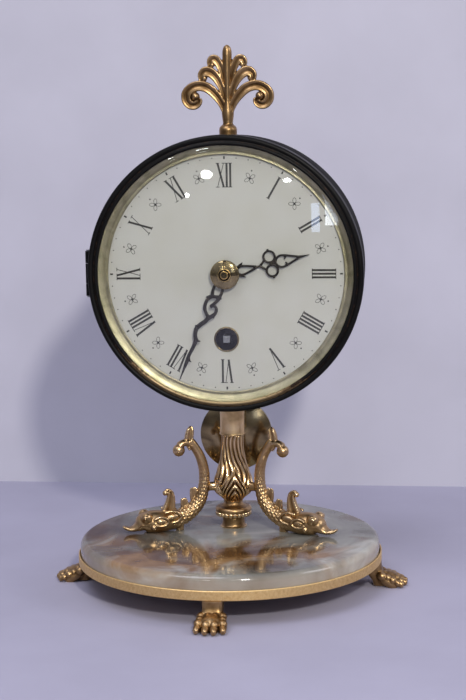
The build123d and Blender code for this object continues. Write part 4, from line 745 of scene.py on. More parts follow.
# Limbs of a dolphin: outward from the column, height over the slab, half depth, half breadth
BODY = ((50.8, 3.3, 0.5, 1.1), (49.0, 2.2, 0.85, 2.0), (46.4, 2.0, 1.25, 2.8), (44.1, 2.9, 2.2, 3.6),
        (41.8, 4.3, 4.1, 4.6), (38.3, 4.7, 5.0, 5.4), (33.2, 4.7, 4.9, 5.5), (27.3, 5.0, 4.0, 4.8),
        (20.7, 7.7, 3.4, 3.9), (15.9, 12.6, 2.9, 3.2), (13.7, 19.0, 2.5, 2.7), (13.4, 25.9, 2.35, 2.4),
        (14.9, 32.5, 2.2, 2.2), (17.7, 37.8, 2.0, 2.0), (19.6, 40.8, 1.7, 1.7))
TAIL_BLADE = ((18.7, 36.8, 1.7, 1.6), (20.1, 40.0, 1.9, 1.7), (19.9, 43.0, 1.9, 1.6), (19.3, 45.6, 1.5, 1.3),
              (18.9, 47.1, 0.6, 0.6))
TAIL_CURL = ((17.8, 37.4, 1.6, 1.7), (20.4, 39.6, 1.6, 1.8), (22.8, 39.6, 1.6, 2.0), (24.6, 38.3, 1.8, 2.4))
HORN = ((30.6, 6.5, 3.4, 2.3), (29.9, 9.6, 2.9, 2.0), (29.2, 12.4, 2.3, 1.7), (28.8, 15.2, 1.8, 1.5),
        (29.0, 17.2, 1.4, 1.35), (30.2, 18.1, 1.15, 1.3), (31.3, 17.4, 0.9, 1.2))
BACK_FINS = (((21.8, 7.6, 2.2, 1.3), (22.4, 10.4, 2.0, 1.2), (22.8, 12.8, 1.7, 1.0), (23.1, 14.4, 1.2, 0.7)),
             ((17.2, 11.6, 2.2, 1.3), (18.0, 14.4, 2.0, 1.2), (18.4, 17.0, 1.8, 1.0), (18.6, 19.0, 1.3, 0.7)))
GILL = ((32.6, 9.3, 0.55, 0.8), (29.4, 9.9, 0.6, 0.9), (26.6, 9.0, 0.65, 0.9), (25.3, 7.2, 0.65, 0.9),
        (26.6, 5.4, 0.55, 0.8), (29.4, 4.6, 0.45, 0.7))
CHEEK = ((37.6, 6.4, 0.5, 0.7), (35.2, 7.5, 0.6, 0.8), (32.2, 7.0, 0.6, 0.8), (31.2, 5.2, 0.6, 0.8),
         (32.8, 3.7, 0.55, 0.8), (35.6, 3.6, 0.5, 0.7), (37.2, 4.8, 0.4, 0.6))
LIP = ((50.6, 2.9, 0.35, 0.5), (47.4, 2.2, 0.5, 0.7), (43.6, 2.5, 0.6, 0.8), (40.2, 2.5, 0.65, 0.8),
       (38.0, 1.7, 0.7, 0.9))
# Lug that meets the baluster, and the foot pad: how far out, its heights, its half length and half breadth
LUG = ((13.7, 19.0, 2.3, 1.6), (10.6, 19.0, 2.0, 1.5), (8.2, 19.0, 2.3, 1.7))
PAD_REACH, PAD_HEIGHTS, PAD_HALVES = 25.0, (0.02, 1.5, 3.6), (1.7, 1.8)
# Balls in the curls of the tail and the crest: their middle, then their half sizes
CURL_BALLS = (((24.8, 36.4, 0), (2.8, 2.8, 2.7)), ((31.4, 17.3, 0), (1.2, 1.2, 1.4)))
# Gill cover, cheek, brow, eye and jaw: outward, height, aside of the face; half sizes; lean in degrees
FACE_LUMPS = ((29.2, 7.1, 0, (2.9, 1.5, 1.0), -8), (34.3, 5.5, 0.6, (2.2, 1.3, 0.9), 6),
              (40.6, 7.2, -1.3, (2.6, 2.6, 2.5), 0), (41.4, 7.7, 0.9, (1.15, 1.05, 0.7), 0),
              (37.6, 3.0, 0.3, (1.3, 1.2, 1.1), 0))
# Half breadth of the face, how far the cheek stands out of it, how far a lip is set aside and turned
FACE_ASIDE, CHEEK_RISE, LIP_ASIDE, LIP_TURN = 4.7, 0.6, 11.6, 12
# Scales: where they start and end along the body, their rows along it and columns around it, their rise
SCALES_START, SCALES_END, SCALE_ROWS, SCALE_COLUMNS, SCALE_RISE = 0.47, 0.90, 56, 13, 0.17


def scales(share, turn):
    """Overlapping scales along the body, from behind the gill until the tail grows slim."""
    zone = unit((share - SCALES_START) / 0.04) * unit((SCALES_END - share) / 0.16)
    row = share * SCALE_ROWS
    column = turn / (2 * pi) * SCALE_COLUMNS + 0.5 * (int(row) % 2)
    away = (column % 1 - 0.5) ** 2 * 3.4 + (row % 1 - 0.35) ** 2 * 1.8
    return 1 + zone * SCALE_RISE * (0.45 - away)


def dolphin(side, plane):
    """Cast dolphin, nose down, with scaled back, curled crest, fins and a scrolled tail."""
    bm = bmesh.new()
    strand(bm, BODY, plane, steps=20, segments=56, relief=scales)
    strand(bm, TAIL_BLADE, plane, steps=6, segments=20, relief=channelled)
    strand(bm, TAIL_CURL, plane, steps=8, segments=20)
    strand(bm, HORN, plane, steps=8, segments=20, relief=channelled)
    for fin in BACK_FINS:
        strand(bm, fin, plane, steps=6, segments=16, relief=channelled)
    for ball in CURL_BALLS:
        lump(bm, plane, *ball)
    for hand in (1, -1):
        face = plane @ Matrix.Translation((0, 0, hand * FACE_ASIDE))
        strand(bm, GILL, face)
        strand(bm, CHEEK, face @ Matrix.Translation((0, 0, hand * CHEEK_RISE)))
        strand(bm, LIP, plane @ Matrix.Translation((0, 0, hand * LIP_ASIDE))
               @ Matrix.Rotation(hand * radians(LIP_TURN), 4, "Y"))
        for out, up, aside, radii, lean in FACE_LUMPS:
            lump(bm, face, (out, up, hand * aside), radii, lean)
    strand(bm, LUG, plane, steps=4, segments=16)
    pad = [plane @ Matrix.Translation((PAD_REACH, up, 0)) @ UPRIGHT @ Matrix.Diagonal((*PAD_HALVES, 1, 1))
           for up in PAD_HEIGHTS]
    loft(bm, pad, segments=24, relief=squared)
    cast(bm, CASTING_VOXEL)
    mark_hollows(bm, rounds=10, depth=0.6)
    for vert in bm.verts:
        vert.co.z = max(vert.co.z, plane.translation.z)
    piece("dolphin_cast_" + side, bm, WORLD_FRAME, "stand", "gilt_cast_brass", "cast_brass",
          "dolphin_" + side)


class CLOCK_OT_dolphins(bpy.types.Operator):
    """The two cast dolphins that stand nose down on the slab"""

    bl_idname = "clock.dolphins"
    bl_label = "Dolphins"

    def execute(self, context):
        middle_of_slab = Matrix.Translation((DRUM.x, DRUM.y, span("onyx_slab")[1].z))
        for side, bearing in (("right", -20), ("left", 200)):
            dolphin(side, middle_of_slab @ about_z(bearing) @ UPRIGHT)
        return {"FINISHED"}


# Bezel: radius of its opening, its outer and inner bead, wall of its skirt, rebate and play of the glass
OPENING, BEZEL_BEAD, OPENING_BEAD = 55.5, 1.25, 0.85
SKIRT_WALL, SKIRT_DROP, REBATE, GLASS_PLAY = 0.7, 0.3, 1.37, 0.03
# Wear of the groove inside the outer bead: how far inside, how broad, how far down, how strong
GROOVE_INSET, GROOVE_BREADTH, GROOVE_DEPTH, GROOVE_WEAR = 0.15, 0.45, 2.5, 0.95
# Fingers that open the bezel wear its foot, just left of six: the way there; start, growth and most of it
WORN_WAY = Vector((sin(radians(187)), cos(radians(187))))
WORN_FROM, WORN_GROWTH, WORN_MOST = 0.6, 5, 1.5
# Glass: radius where its dome starts, thickness, degrees by which the dome's inside ends sooner
DOME_EDGE, GLASS_SHEET, INSIDE_STOP = 55.4, 1.3, 0.25
# Sight ring: radius of its opening and of its rolled edge, height of the roll; then across and along,
# its ledge from the back, the end of its slope and its rim from the front
SIGHT_OPENING, SIGHT_ROLL = 51.4, 0.45
SIGHT_FOOT, SIGHT_LEDGE, SIGHT_SLOPE, SIGHT_RIM = 0.5, (1.4, 0.95), (2.6, 0.55), (0.35, 0.7)


class CLOCK_OT_case(bpy.types.Operator):
    """Lacquered drum, back cover, bezel and hinge"""

    bl_idname = "clock.case"
    bl_label = "Case"

    def execute(self, context):
        dress("matt_lacquer", "case_shell", "back_cover", "case_hinge", "bezel_hinge")
        dress("plate_brass", "cover_posts")
        dress("turned_steel", "cover_screws", "hinge_pin", "finial_nut")

        outer = span("bezel")[1].x
        front, back = front_of("bezel"), back_of("bezel")
        seat, glass = back_of("crystal"), span("crystal")[1].x + GLASS_PLAY
        outline = [(outer, back)]
        outline += arc((outer - BEZEL_BEAD, front - BEZEL_BEAD), BEZEL_BEAD, 0, 150, steps=14)
        outline += arc((OPENING + OPENING_BEAD, front - OPENING_BEAD), OPENING_BEAD, 30, 180, steps=12)
        outline += [(OPENING, seat + REBATE), (glass, seat + REBATE), (glass, seat),
                    (outer - SKIRT_WALL, seat - SKIRT_DROP), (outer - SKIRT_WALL, back)]
        bm = turned(outline)
        wear = bm.verts.layers.float.new("wear")
        groove = outer - 2 * BEZEL_BEAD - GROOVE_INSET
        for vert in bm.verts:
            reach = vert.co.xy.length
            rubbed = exp(-((reach - groove) / GROOVE_BREADTH) ** 2) if vert.co.z > front - GROOVE_DEPTH else 0
            towards = vert.co.xy.dot(WORN_WAY) / reach
            fingered = min(max(towards - WORN_FROM, 0) * WORN_GROWTH, WORN_MOST) if reach < groove else 0
            vert[wear] = rubbed * GROOVE_WEAR + fingered
        piece("bezel_ring", bm, DRUM_FRAME, "bezel_door", "black_lacquer", "stoved_lacquer", "bezel")
        return {"FINISHED"}


class CLOCK_OT_glazing(bpy.types.Operator):
    """Domed glass and the gilt sight ring inside it"""

    bl_idname = "clock.glazing"
    bl_label = "Glazing"

    def execute(self, context):
        rim = span("crystal")[1].x
        back, apex = back_of("crystal"), front_of("crystal")
        shoulder = back + GLASS_SHEET
        rise = apex - shoulder
        dome = DOME_EDGE**2 / (2 * rise) + rise / 2
        swing = degrees(atan2(dome - rise, DOME_EDGE))
        outline = [(rim, back), (rim, shoulder), (DOME_EDGE, shoulder)]
        outline += arc((0, apex - dome), dome, swing, 90, steps=40)[1:]
        outline += arc((0, apex - dome), dome - GLASS_SHEET, 90, swing + INSIDE_STOP, steps=40)
        bm = turned(outline)
        piece("glass", bm, DRUM_FRAME, "bezel_door", "clear_glass", "domed_glass", "crystal", crease=30)

        outer = span("sight_ring")[1].x
        back, front = back_of("sight_ring"), front_of("sight_ring")
        outline = [(SIGHT_OPENING + SIGHT_FOOT, back)]
        outline += arc((SIGHT_OPENING + SIGHT_ROLL, back + SIGHT_FOOT), SIGHT_ROLL, 200, 60)
        outline += [(SIGHT_OPENING + SIGHT_LEDGE[0], back + SIGHT_LEDGE[1]),
                    (SIGHT_OPENING + SIGHT_SLOPE[0], front - SIGHT_SLOPE[1]),
                    (outer - SIGHT_RIM[0], front), (outer, front), (outer, front - SIGHT_RIM[1])]
        bm = turned(outline)
        piece("sight_cone", bm, DRUM_FRAME, "bezel_door", "polished_brass", "pale_gilt", "sight_ring")
        return {"FINISHED"}


# Arms of the palmette, lowest first: across, height over the drum, half width, half depth; then the ball
FINIAL_ARMS = (
    (((1.2, 9.8, 1.1, 1.7), (1.9, 12.4, 1.5, 1.9), (3.2, 15.2, 1.8, 2.0), (5.6, 18.3, 2.1, 2.0),
      (8.6, 20.8, 2.25, 2.0), (12.2, 21.8, 2.25, 2.0), (15.5, 21.0, 2.25, 2.0), (17.9, 18.7, 2.2, 2.0),
      (18.1, 15.8, 2.1, 2.0), (16.5, 13.7, 2.0, 2.0), (14.3, 13.4, 1.8, 2.0), (12.7, 14.8, 1.5, 1.9),
      (12.6, 16.4, 1.2, 1.8)), (14.1, 17.2, 1.9)),
    (((1.0, 14.6, 0.9, 1.6), (1.8, 18.6, 1.25, 1.7), (3.2, 22.4, 1.65, 1.8), (5.0, 25.4, 2.0, 1.8),
      (7.2, 27.4, 2.25, 1.8), (9.4, 27.9, 2.25, 1.8), (11.0, 26.8, 1.9, 1.8), (11.4, 25.2, 1.4, 1.8),
      (10.9, 23.9, 1.0, 1.7)), (10.0, 24.9, 1.2)),
    (((0.9, 20.0, 0.8, 1.4), (1.6, 24.6, 1.1, 1.5), (2.5, 28.4, 1.5, 1.6), (3.7, 31.3, 1.8, 1.6),
      (5.2, 33.1, 1.95, 1.6), (6.6, 33.1, 1.85, 1.6), (7.4, 31.9, 1.5, 1.6), (7.4, 30.4, 1.1, 1.5)),
     (6.6, 30.7, 1.1)),
)
# Collar, neck and middle bar: height over the drum, half width, half depth
FINIAL_STEM = ((-1.0, 3.9, 3.9), (1.2, 3.9, 3.9), (3.0, 3.9, 3.9), (4.2, 3.3, 3.3), (5.0, 2.3, 2.3),
               (6.2, 2.25, 2.2), (8.0, 2.5, 2.2), (10.5, 2.7, 2.1), (13.0, 2.3, 1.9), (16.0, 1.6, 1.7),
               (20.0, 1.5, 1.75), (26.0, 1.75, 1.9), (32.0, 2.0, 1.9), (36.2, 2.05, 1.8), (38.3, 1.5, 1.4),
               (39.3, 0.4, 0.4))
# How much deeper than wide the balls of the palmette are
BALL_DEPTH = 1.25


class CLOCK_OT_finial(bpy.types.Operator):
    """Cast palmette on top of the drum"""

    bl_idname = "clock.finial"
    bl_label = "Finial"

    def execute(self, context):
        top, tip = span("case_shell")[1].z, span("finial")[1].z
        upright = Matrix.Translation((DRUM.x, DRUM.y, top)) @ UPRIGHT
        bm = bmesh.new()
        for hand in (1, -1):
            for arm, (across, up, size) in FINIAL_ARMS:
                stations = [(hand * aside, *rest) for aside, *rest in arm]
                strand(bm, stations, upright, steps=8, segments=24, relief=channelled)
                lump(bm, upright, (hand * across, up, 0), (size, size, size * BALL_DEPTH))
        bar = [level_ring(DRUM.x, DRUM.y, top + up, wide, deep) for up, wide, deep in flowing(FINIAL_STEM, 8)]
        loft(bm, bar, segments=32, relief=ridged)
        cast(bm, PALMETTE_VOXEL)
        mark_hollows(bm, rounds=12, depth=0.6, grime_and_shade=0.5)
        foot = top + FINIAL_STEM[0][0]
        for vert in bm.verts:
            vert.co.z = min(max(vert.co.z, foot), tip)
        piece("palmette", bm, WORLD_FRAME, "stand", "gilt_cast_brass", "cast_brass", "finial")
        return {"FINISHED"}


NUMERALS = ("XII", "I", "II", "III", "IIII", "V", "VI", "VII", "VIII", "IX", "X", "XI")
# Width that each letter takes; inset of its slanting strokes and width of its serifs, in thick strokes
ADVANCE = {"I": 1.55, "V": 3.7, "X": 3.7}
LETTER_INSET, SERIF = 0.6, 1.75
# Half-hour mark: petals out from its middle, their half width and length, the share that their holes take;
# then height and radius of its dots
PETAL_REACH, PETAL, PETAL_HOLE = 1.45, (0.8, 1.2), (0.76, 0.82)
FLOWER_DOTS = ((0, 0.42), (3.3, 0.34))
# Minute dots, the bars at the hours, and how far the print stands up, so that it shows
DOT_RADIUS, BAR_HALF, BAR_WIDTH, INK_RISE = 0.26, 0.65, 0.7, 0.04
GROMMET_BORE = 4.75


def stroke(bm, start, end, width, place):
    """A flat stroke between two points, its ends cut level."""
    lean = Matrix(((width, end[0] - start[0], 0, (start[0] + end[0]) / 2),
                   (0, end[1] - start[1], 0, (start[1] + end[1]) / 2), (0, 0, 1, 0), (0, 0, 0, 1)))
    bmesh.ops.create_grid(bm, x_segments=1, y_segments=1, size=0.5, matrix=place @ lean)


def dot(bm, radius, place, segments):
    bmesh.ops.create_circle(bm, cap_ends=True, segments=segments, radius=radius, matrix=place)


def numeral(bm, letters, place):
    """One Roman numeral round the origin, with thick and thin strokes and hairline serifs."""
    half = sizes().numeral_height / MM / 2
    thick, thin = sizes().thick_stroke / MM, sizes().thin_stroke / MM
    left = -sum(ADVANCE[letter] for letter in letters) / 2
    for letter in letters:
        right = left + ADVANCE[letter]
        centre = (left + right) / 2
        near, far = left + thick * LETTER_INSET, right - thick * LETTER_INSET
        if letter == "I":
            strokes = [((centre, -half), (centre, half), thick)]
            serifs = [(centre, -half), (centre, half)]
        elif letter == "V":
            strokes = [((near, half), (centre, -half), thick), ((far, half), (centre, -half), thin)]
            serifs = [(near, half), (far, half)]
        else:
            strokes = [((near, half), (far, -half), thick), ((far, half), (near, -half), thin)]
            serifs = [(near, half), (far, half), (near, -half), (far, -half)]
        for start, end, width in strokes:
            stroke(bm, start, end, width, place)
        for x, y in serifs:
            stroke(bm, (x, y - thin / 2), (x, y + thin / 2), thick * SERIF, place)
        left = right


def flower(bm, place):
    """Half-hour mark: four petal loops about a dot, and one dot outside."""
    for quarter in range(4):
        petal = (place @ about_z(90 * quarter + 45) @ Matrix.Translation((0, PETAL_REACH, 0))
                 @ Matrix.Diagonal((*PETAL, 1, 1)))
        ring = bmesh.ops.create_circle(bm, segments=20, radius=1, matrix=petal)["verts"]
        edges = list({edge for vert in ring for edge in vert.link_edges})
        grown = bmesh.ops.extrude_edge_only(bm, edges=edges)["geom"]
        inner = [part for part in grown if isinstance(part, bmesh.types.BMVert)]
        bmesh.ops.scale(bm, vec=(*PETAL_HOLE, 1), verts=inner, space=petal.inverted())
    for height, radius in FLOWER_DOTS:
        dot(bm, radius, place @ Matrix.Translation((0, height, 0)), segments=14)


class CLOCK_OT_dial(bpy.types.Operator):
    """Painted dial, its printing and the winding hole's grommet"""

    bl_idname = "clock.dial"
    bl_label = "Dial"

    def execute(self, context):
        dress("cream_paint", "dial")
        face = front_of("dial")
        low, high = span("winding_grommet")
        radius = (high.x - low.x) / 2
        roll = (radius - GROMMET_BORE) / 2
        back, front = back_of("winding_grommet"), front_of("winding_grommet")
        outline = [(GROMMET_BORE, back), (radius - roll, back), (radius - roll, face), (radius, face)]
        outline += [(reach, face + up * (front - face) / roll)
                    for reach, up in arc((radius - roll, 0), roll, 0, 180, steps=12)]
        bm = turned(outline, steps=SMALL_TURN_STEPS)
        hole = Matrix.Translation((0, (low.z + high.z) / 2 - DRUM.z, 0))
        piece("grommet", bm, DRUM_FRAME @ hole, "stand", "polished_brass", "toned_brass", "winding_grommet")

        paint = Matrix.Translation((0, 0, face))
        numeral_circle = Matrix.Translation((0, sizes().numeral_circle / MM, 0))
        minutes = sizes().minute_circle / MM
        bm = bmesh.new()
        for hour, letters in enumerate(NUMERALS):
            turn = paint @ about_z(-30 * hour)
            numeral(bm, letters, turn @ numeral_circle)
            flower(bm, turn @ about_z(-15) @ numeral_circle)
        for minute in range(60):
            turn = paint @ about_z(-6 * minute)
            if minute % 5:
                dot(bm, DOT_RADIUS, turn @ Matrix.Translation((0, minutes, 0)), segments=12)
            else:
                stroke(bm, (0, minutes - BAR_HALF), (0, minutes + BAR_HALF), BAR_WIDTH, turn)
        bmesh.ops.recalc_face_normals(bm, faces=bm.faces)
        for part in bm.faces:
            if part.normal.z < 0:
                part.normal_flip()
        bmesh.ops.solidify(bm, geom=bm.faces, thickness=-INK_RISE)
        piece("dial_print", bm, DRUM_FRAME, "stand", "dial_paint", "dial_ink")
        return {"FINISHED"}


def both_sides(*limbs):
    """Limbs and their mirror images across the hand's middle line."""
    return tuple(limb for each in limbs for limb in (each, tuple((-x, y, w) for x, y, w in each)))


# Points of a ring in a hand, and how many of them it overlaps itself by, so that it closes
RING_POINTS, RING_LAP = 14, 2


def ring_limb(x, y, radius, width):
    return tuple((x + radius * sin(t), y + radius * cos(t), width)
                 for t in (2 * pi * i / RING_POINTS for i in range(RING_POINTS + RING_LAP)))


# Limbs of the hour hand, pointing up: across, along, half width
HOUR_LIMBS = (
    *both_sides(((0.5, 4.2, 1.0), (1.5, 6.0, 0.75), (2.4, 7.2, 0.6), (3.3, 8.5, 0.15)),
                ((1.9, 6.6, 0.6), (1.75, 8.6, 0.5), (1.05, 11.2, 0.5), (0.2, 13.9, 0.5)),
                ((0.1, 15.6, 0.55), (1.2, 16.9, 0.5), (2.2, 18.0, 0.5)),
                ring_limb(3.05, 20.3, 2.45, 0.5),
                ((5.4, 20.3, 0.5), (6.0, 20.3, 0.55), (6.5, 20.3, 0.3)),
                ((0.2, 22.4, 0.55), (1.6, 23.2, 0.5), (2.5, 24.8, 0.5), (2.2, 26.9, 0.5), (1.3, 29.6, 0.5),
                 (0.3, 32.6, 0.5)),
                ((2.2, 26.6, 0.5), (1.3, 27.1, 0.4), (0.7, 26.5, 0.2))),
    ((0, 13.2, 0.6), (0, 15.0, 0.5), (0, 16.2, 0.6)),
    ((0, 19.7, 0.3), (0, 20.6, 0.35), (0, 22.8, 0.35)),
    ((0, 31.6, 0.8), (0, 33.6, 0.6), (0, 37.6, 0.1)),
)
# Limbs of the minute hand: two open scrolls, then a wavy blade with thorns
MINUTE_LIMBS = (
    ((0.6, 3.0, 0.8), (1.85, 4.6, 0.6), (2.1, 7.4, 0.5), (1.7, 9.6, 0.6), (1.0, 11.0, 0.6)),
    ((-0.5, 3.2, 0.8), (-1.4, 5.2, 0.55), (-1.9, 8.0, 0.5), (-1.7, 10.0, 0.6)),
    ((1.4, 11.1, 0.6), (0, 10.5, 0.6), (-1.8, 10.2, 0.7), (-2.9, 10.4, 0.15)),
    ((0.8, 10.8, 0.6), (2.4, 11.5, 0.55), (3.8, 12.4, 0.1)),
    ((1.6, 11.2, 0.6), (2.7, 13.2, 0.55), (2.7, 15.4, 0.6), (2.0, 17.4, 0.6), (0.5, 19.0, 0.6),
     (-0.9, 19.9, 0.6)),
    ((-1.9, 10.3, 0.6), (-1.3, 12.2, 0.55), (-0.5, 13.8, 0.55), (-0.1, 14.9, 0.7), (0.3, 15.6, 0.5)),
    ((-0.3, 14.8, 0.5), (-1.7, 14.5, 0.5), (-2.7, 15.7, 0.55), (-2.7, 17.5, 0.6), (-1.7, 19.2, 0.7),
     (-0.7, 20.6, 0.8)),
    ((-2.1, 18.0, 0.5), (-2.7, 18.8, 0.4), (-3.1, 19.6, 0.1)),
    ((-0.8, 19.6, 0.8), (-0.3, 21.8, 0.75), (1.2, 24.4, 0.8), (2.1, 26.8, 0.75), (1.5, 29.4, 0.7),
     (0.4, 31.6, 0.75), (0.2, 34.4, 0.65), (0.5, 38.3, 0.6), (0.3, 41.6, 0.65), (0.15, 46.0, 0.35),
     (0, 50.9, 0.08)),
    ((1.2, 24.9, 0.6), (2.5, 25.6, 0.5), (3.3, 25.5, 0.1)),
    ((0.9, 30.6, 0.6), (-0.5, 31.3, 0.5), (-1.8, 31.0, 0.1)),
    ((0.4, 39.6, 0.5), (-0.6, 40.8, 0.4), (-1.6, 41.1, 0.1)),
)
# Boss of the hands: radius, and its share of the limbs' thickness, so that no faces coincide
BOSS_RADIUS, BOSS_SHARE = 4.4, 0.98
# Domed washer: its bore, its edge, shares of its radius and height along the dome; then its notch:
# half width, where it starts as a share of the radius, depth, and what is left under it
WASHER_BORE, WASHER_EDGE = 1.5, 0.25
WASHER_DOME = ((1.0, 0.16), (0.93, 0.42), (0.78, 0.68), (0.56, 0.9), (0.42, 1.0))
NOTCH_HALF, NOTCH_START, NOTCH_DEPTH, NOTCH_FLOOR = 0.5, 0.55, 0.9, 0.1
# Hand nut: radius of its boss as a share of its own, round of its edges; in rounds, wall of its rim and
# slope of its boss
NUT_BOSS, NUT_ROUND, NUT_WALL, NUT_SLOPE = 0.66, 0.3, 1.4, 0.4
# Thickness of the pendulum bob's edge to each side of its middle
BOB_EDGE = 0.8


def across_and_depth(node):
    """Radius of a turned node on the dial, and where its back and front are."""
    low, high = span(node)
    return (high.x - low.x) / 2, back_of(node), front_of(node)


class CLOCK_OT_hands(bpy.types.Operator):
    """Openwork hands, domed washer and nut"""

    bl_idname = "clock.hands"
    bl_label = "Hands"

    def execute(self, context):
        for name, limbs, bold, body, turn in (
                ("hour", HOUR_LIMBS, 1.0, "hour_arm", sizes().hour_turn),
                ("minute", MINUTE_LIMBS, 1.3, "minute_arm", sizes().minute_turn)):
            node = name + "_hand"
            back, front = back_of(node), front_of(node)
            half = (front - back) / 2
            flat = Matrix.Translation((0, 0, (front + back) / 2)) @ Matrix.Rotation(-turn, 4, "Z")
            bm = bmesh.new()
            for limb in limbs:
                strand(bm, [(x, y, wide * bold, half) for x, y, wide in limb], flat, relief=flattened)
            bmesh.ops.create_cone(bm, cap_ends=True, segments=48, radius1=BOSS_RADIUS, radius2=BOSS_RADIUS,
                                  depth=2 * half, matrix=flat @ Matrix.Diagonal((1, 1, BOSS_SHARE, 1)))
            cast(bm, HAND_VOXEL)
            piece(name + "_openwork", bm, DRUM_FRAME, body, "blackened_steel", "blacked_steel", node,
                  crease=55)

        radius, back, front = across_and_depth("hand_washer")
        outline = [(WASHER_BORE, back), (radius - WASHER_EDGE, back)]
        outline += [(radius * reach, back + (front - back) * up) for reach, up in flowing(WASHER_DOME, 5)]
        outline.append((WASHER_BORE, front))
        bm = turned(outline, steps=120)
        for vert in bm.verts:
            notched = abs(vert.co.x) < NOTCH_HALF and vert.co.y > NOTCH_START * radius
            if notched and vert.co.z > back + 2 * NOTCH_FLOOR:
                vert.co.z = max(back + NOTCH_FLOOR, vert.co.z - NOTCH_DEPTH)
        piece("washer_dome", bm, DRUM_FRAME, "minute_arm", "polished_brass", "toned_brass", "hand_washer")

        radius, back, front = across_and_depth("hand_nut")
        boss = NUT_BOSS * radius
        channel = back + NUT_ROUND
        outline = [(0, back), (radius - NUT_ROUND, back), (radius, channel)]
        outline += arc((radius - NUT_ROUND, front - 2 * NUT_ROUND), NUT_ROUND, 0, 90, steps=5)
        outline += [(radius - NUT_WALL * NUT_ROUND, channel), (boss + NUT_SLOPE * NUT_ROUND, channel)]
        outline += arc((boss - NUT_ROUND, front - NUT_ROUND), NUT_ROUND, 0, 90, steps=5)
        outline.append((0, front))
        bm = turned(outline, closed=False, steps=64)
        # The nut's channel is marked as a hollow, so that its finish paints dirt and shade into it
        recess = bm.verts.layers.float.new("recess")
        for vert in bm.verts:
            vert[recess] = 1 if abs(vert.co.z - channel) < NUT_ROUND / 2 else 0
        piece("nut", bm, DRUM_FRAME, "minute_arm", "polished_brass", "turned_brass", "hand_nut")
        return {"FINISHED"}


class CLOCK_OT_pendulum(bpy.types.Operator):
    """Bob, rod and rating nut"""

    bl_idname = "clock.pendulum"
    bl_label = "Pendulum"

    def execute(self, context):
        low, high = span("pendulum_bob")
        radius, half = (high.x - low.x) / 2, (high.y - low.y) / 2
        swell = half - BOB_EDGE
        curve = (radius**2 + swell**2) / (2 * swell)
        lean = degrees(atan2(radius, curve - swell))
        outline = arc((0, half - curve), curve, 90, 90 - lean, steps=24)
        outline += [(x, -z) for x, z in outline[::-1]]
        bm = turned(outline, closed=False)
        place = Matrix.Translation(middle("pendulum_bob")) @ UPRIGHT
        piece("bob_lens", bm, place, "pendulum", "polished_brass", "toned_brass", "pendulum_bob")
        dress("turned_steel", "pendulum_rod", "anchor")
        dress("toned_brass", "rating_nut")
        dress("blued_steel", "suspension_spring")
        return {"FINISHED"}


class CLOCK_OT_movement(bpy.types.Operator):
    """Finishes of the plates, wheels, arbors and springs inside the drum"""

    bl_idname = "clock.movement"
    bl_label = "Movement"

    def execute(self, context):
        dress("plate_brass", "front_plate", "back_plate", "centre_wheel", "third_wheel", "escape_wheel",
              "minute_wheel", "hour_wheel", "barrel", "barrel_cover", "seat_ring", "suspension_cock")
        dress("turned_steel", "pillars", "movement_screws", "seat_screws", "centre_arbor", "winding_arbor",
              "click")
        dress("toned_brass", "cannon_pinion")
        # The ratchet wheel is near black: its oil, and painted shade down the winding hole
        dress("oil_and_shade_steel", "ratchet_wheel")
        dress("blued_steel", "mainspring", "click_spring")
        return {"FINISHED"}


# Stage in metres: floor, how far back its middle is and where in front its painted shade is full and where it
# ends; wall, how far behind
FLOOR_SIZE, FLOOR_BACK, FLOOR_PAINTED_SHADE = (2.6, 4.05), 0.025, (-1.1, -0.35)
WALL_SIZE, WALL_BACK = (4, 4), 0.19
# Darker threads of the cloth as a share of its shade, and the strength of the room's own light
CLOTH_SHADE, ROOM_LIGHT = 0.93, 0.85
# Lamps: name, bearing from the front, elevation, distance, width, height, watts, shade
LAMPS = (
    ("key", 18, 26, 1.25, 0.09, 0.09, 8.7, "#FFFBF2"),
    ("pane", 15.5, 7.7, 1.25, 0.043, 0.15, 0.09, "#C4D8FF"),
    ("pane", 19.3, 9.2, 1.25, 0.064, 0.15, 0.22, "#EDF4FF"),
    ("lamp", -11, 18, 1.25, 0.06, 0.045, 0.35, "#FFFFFF"),
    ("lamp", -15.5, 13, 1.25, 0.025, 0.025, 0.06, "#FFFFFF"),
    ("lamp", 8.9, 16.6, 1.25, 0.04, 0.025, 0.1, "#FFFFFF"),
    ("ceiling", -30, 58, 1.2, 0.7, 0.7, 5.6, "#EEF0FF"),
    ("side", 80, 30, 1.2, 0.5, 0.5, 2.6, "#F4F4FF"),
)
# The photograph's camera: lens and sensor in millimetres, what it looks at, how far off, and its angles
LENS, SENSOR = 86.77, 36
TARGET, DISTANCE = Vector((0.0025, 0, 0.10465)), 0.73817
AZIMUTH, ELEVATION, ROLL = radians(6.56), radians(8.60), radians(-0.82)


def cloth(name, shade, place, size):
    """A plain sheet of the stage in faintly mottled cloth; gives its node tree and shader."""
    dark = tuple(part * CLOTH_SHADE for part in linear(shade)[:3]) + (1.0,)
    material = mottled(name + "_cloth", {"Roughness": 0.9}, (60, 4.0, 0.5), [(0.35, dark), (0.65, shade)])
    bm = bmesh.new()
    bmesh.ops.create_grid(bm, x_segments=1, y_segments=1, size=0.5,
                          matrix=place @ Matrix.Diagonal((*size, 1, 1)))
    mesh = bpy.data.meshes.new(name)
    bm.to_mesh(mesh)
    bm.free()
    mesh.materials.append(material)
    made = bpy.data.objects.new(name, mesh)
    bpy.context.scene.collection.objects.link(made)
    return material.node_tree, material.node_tree.nodes["Principled BSDF"]


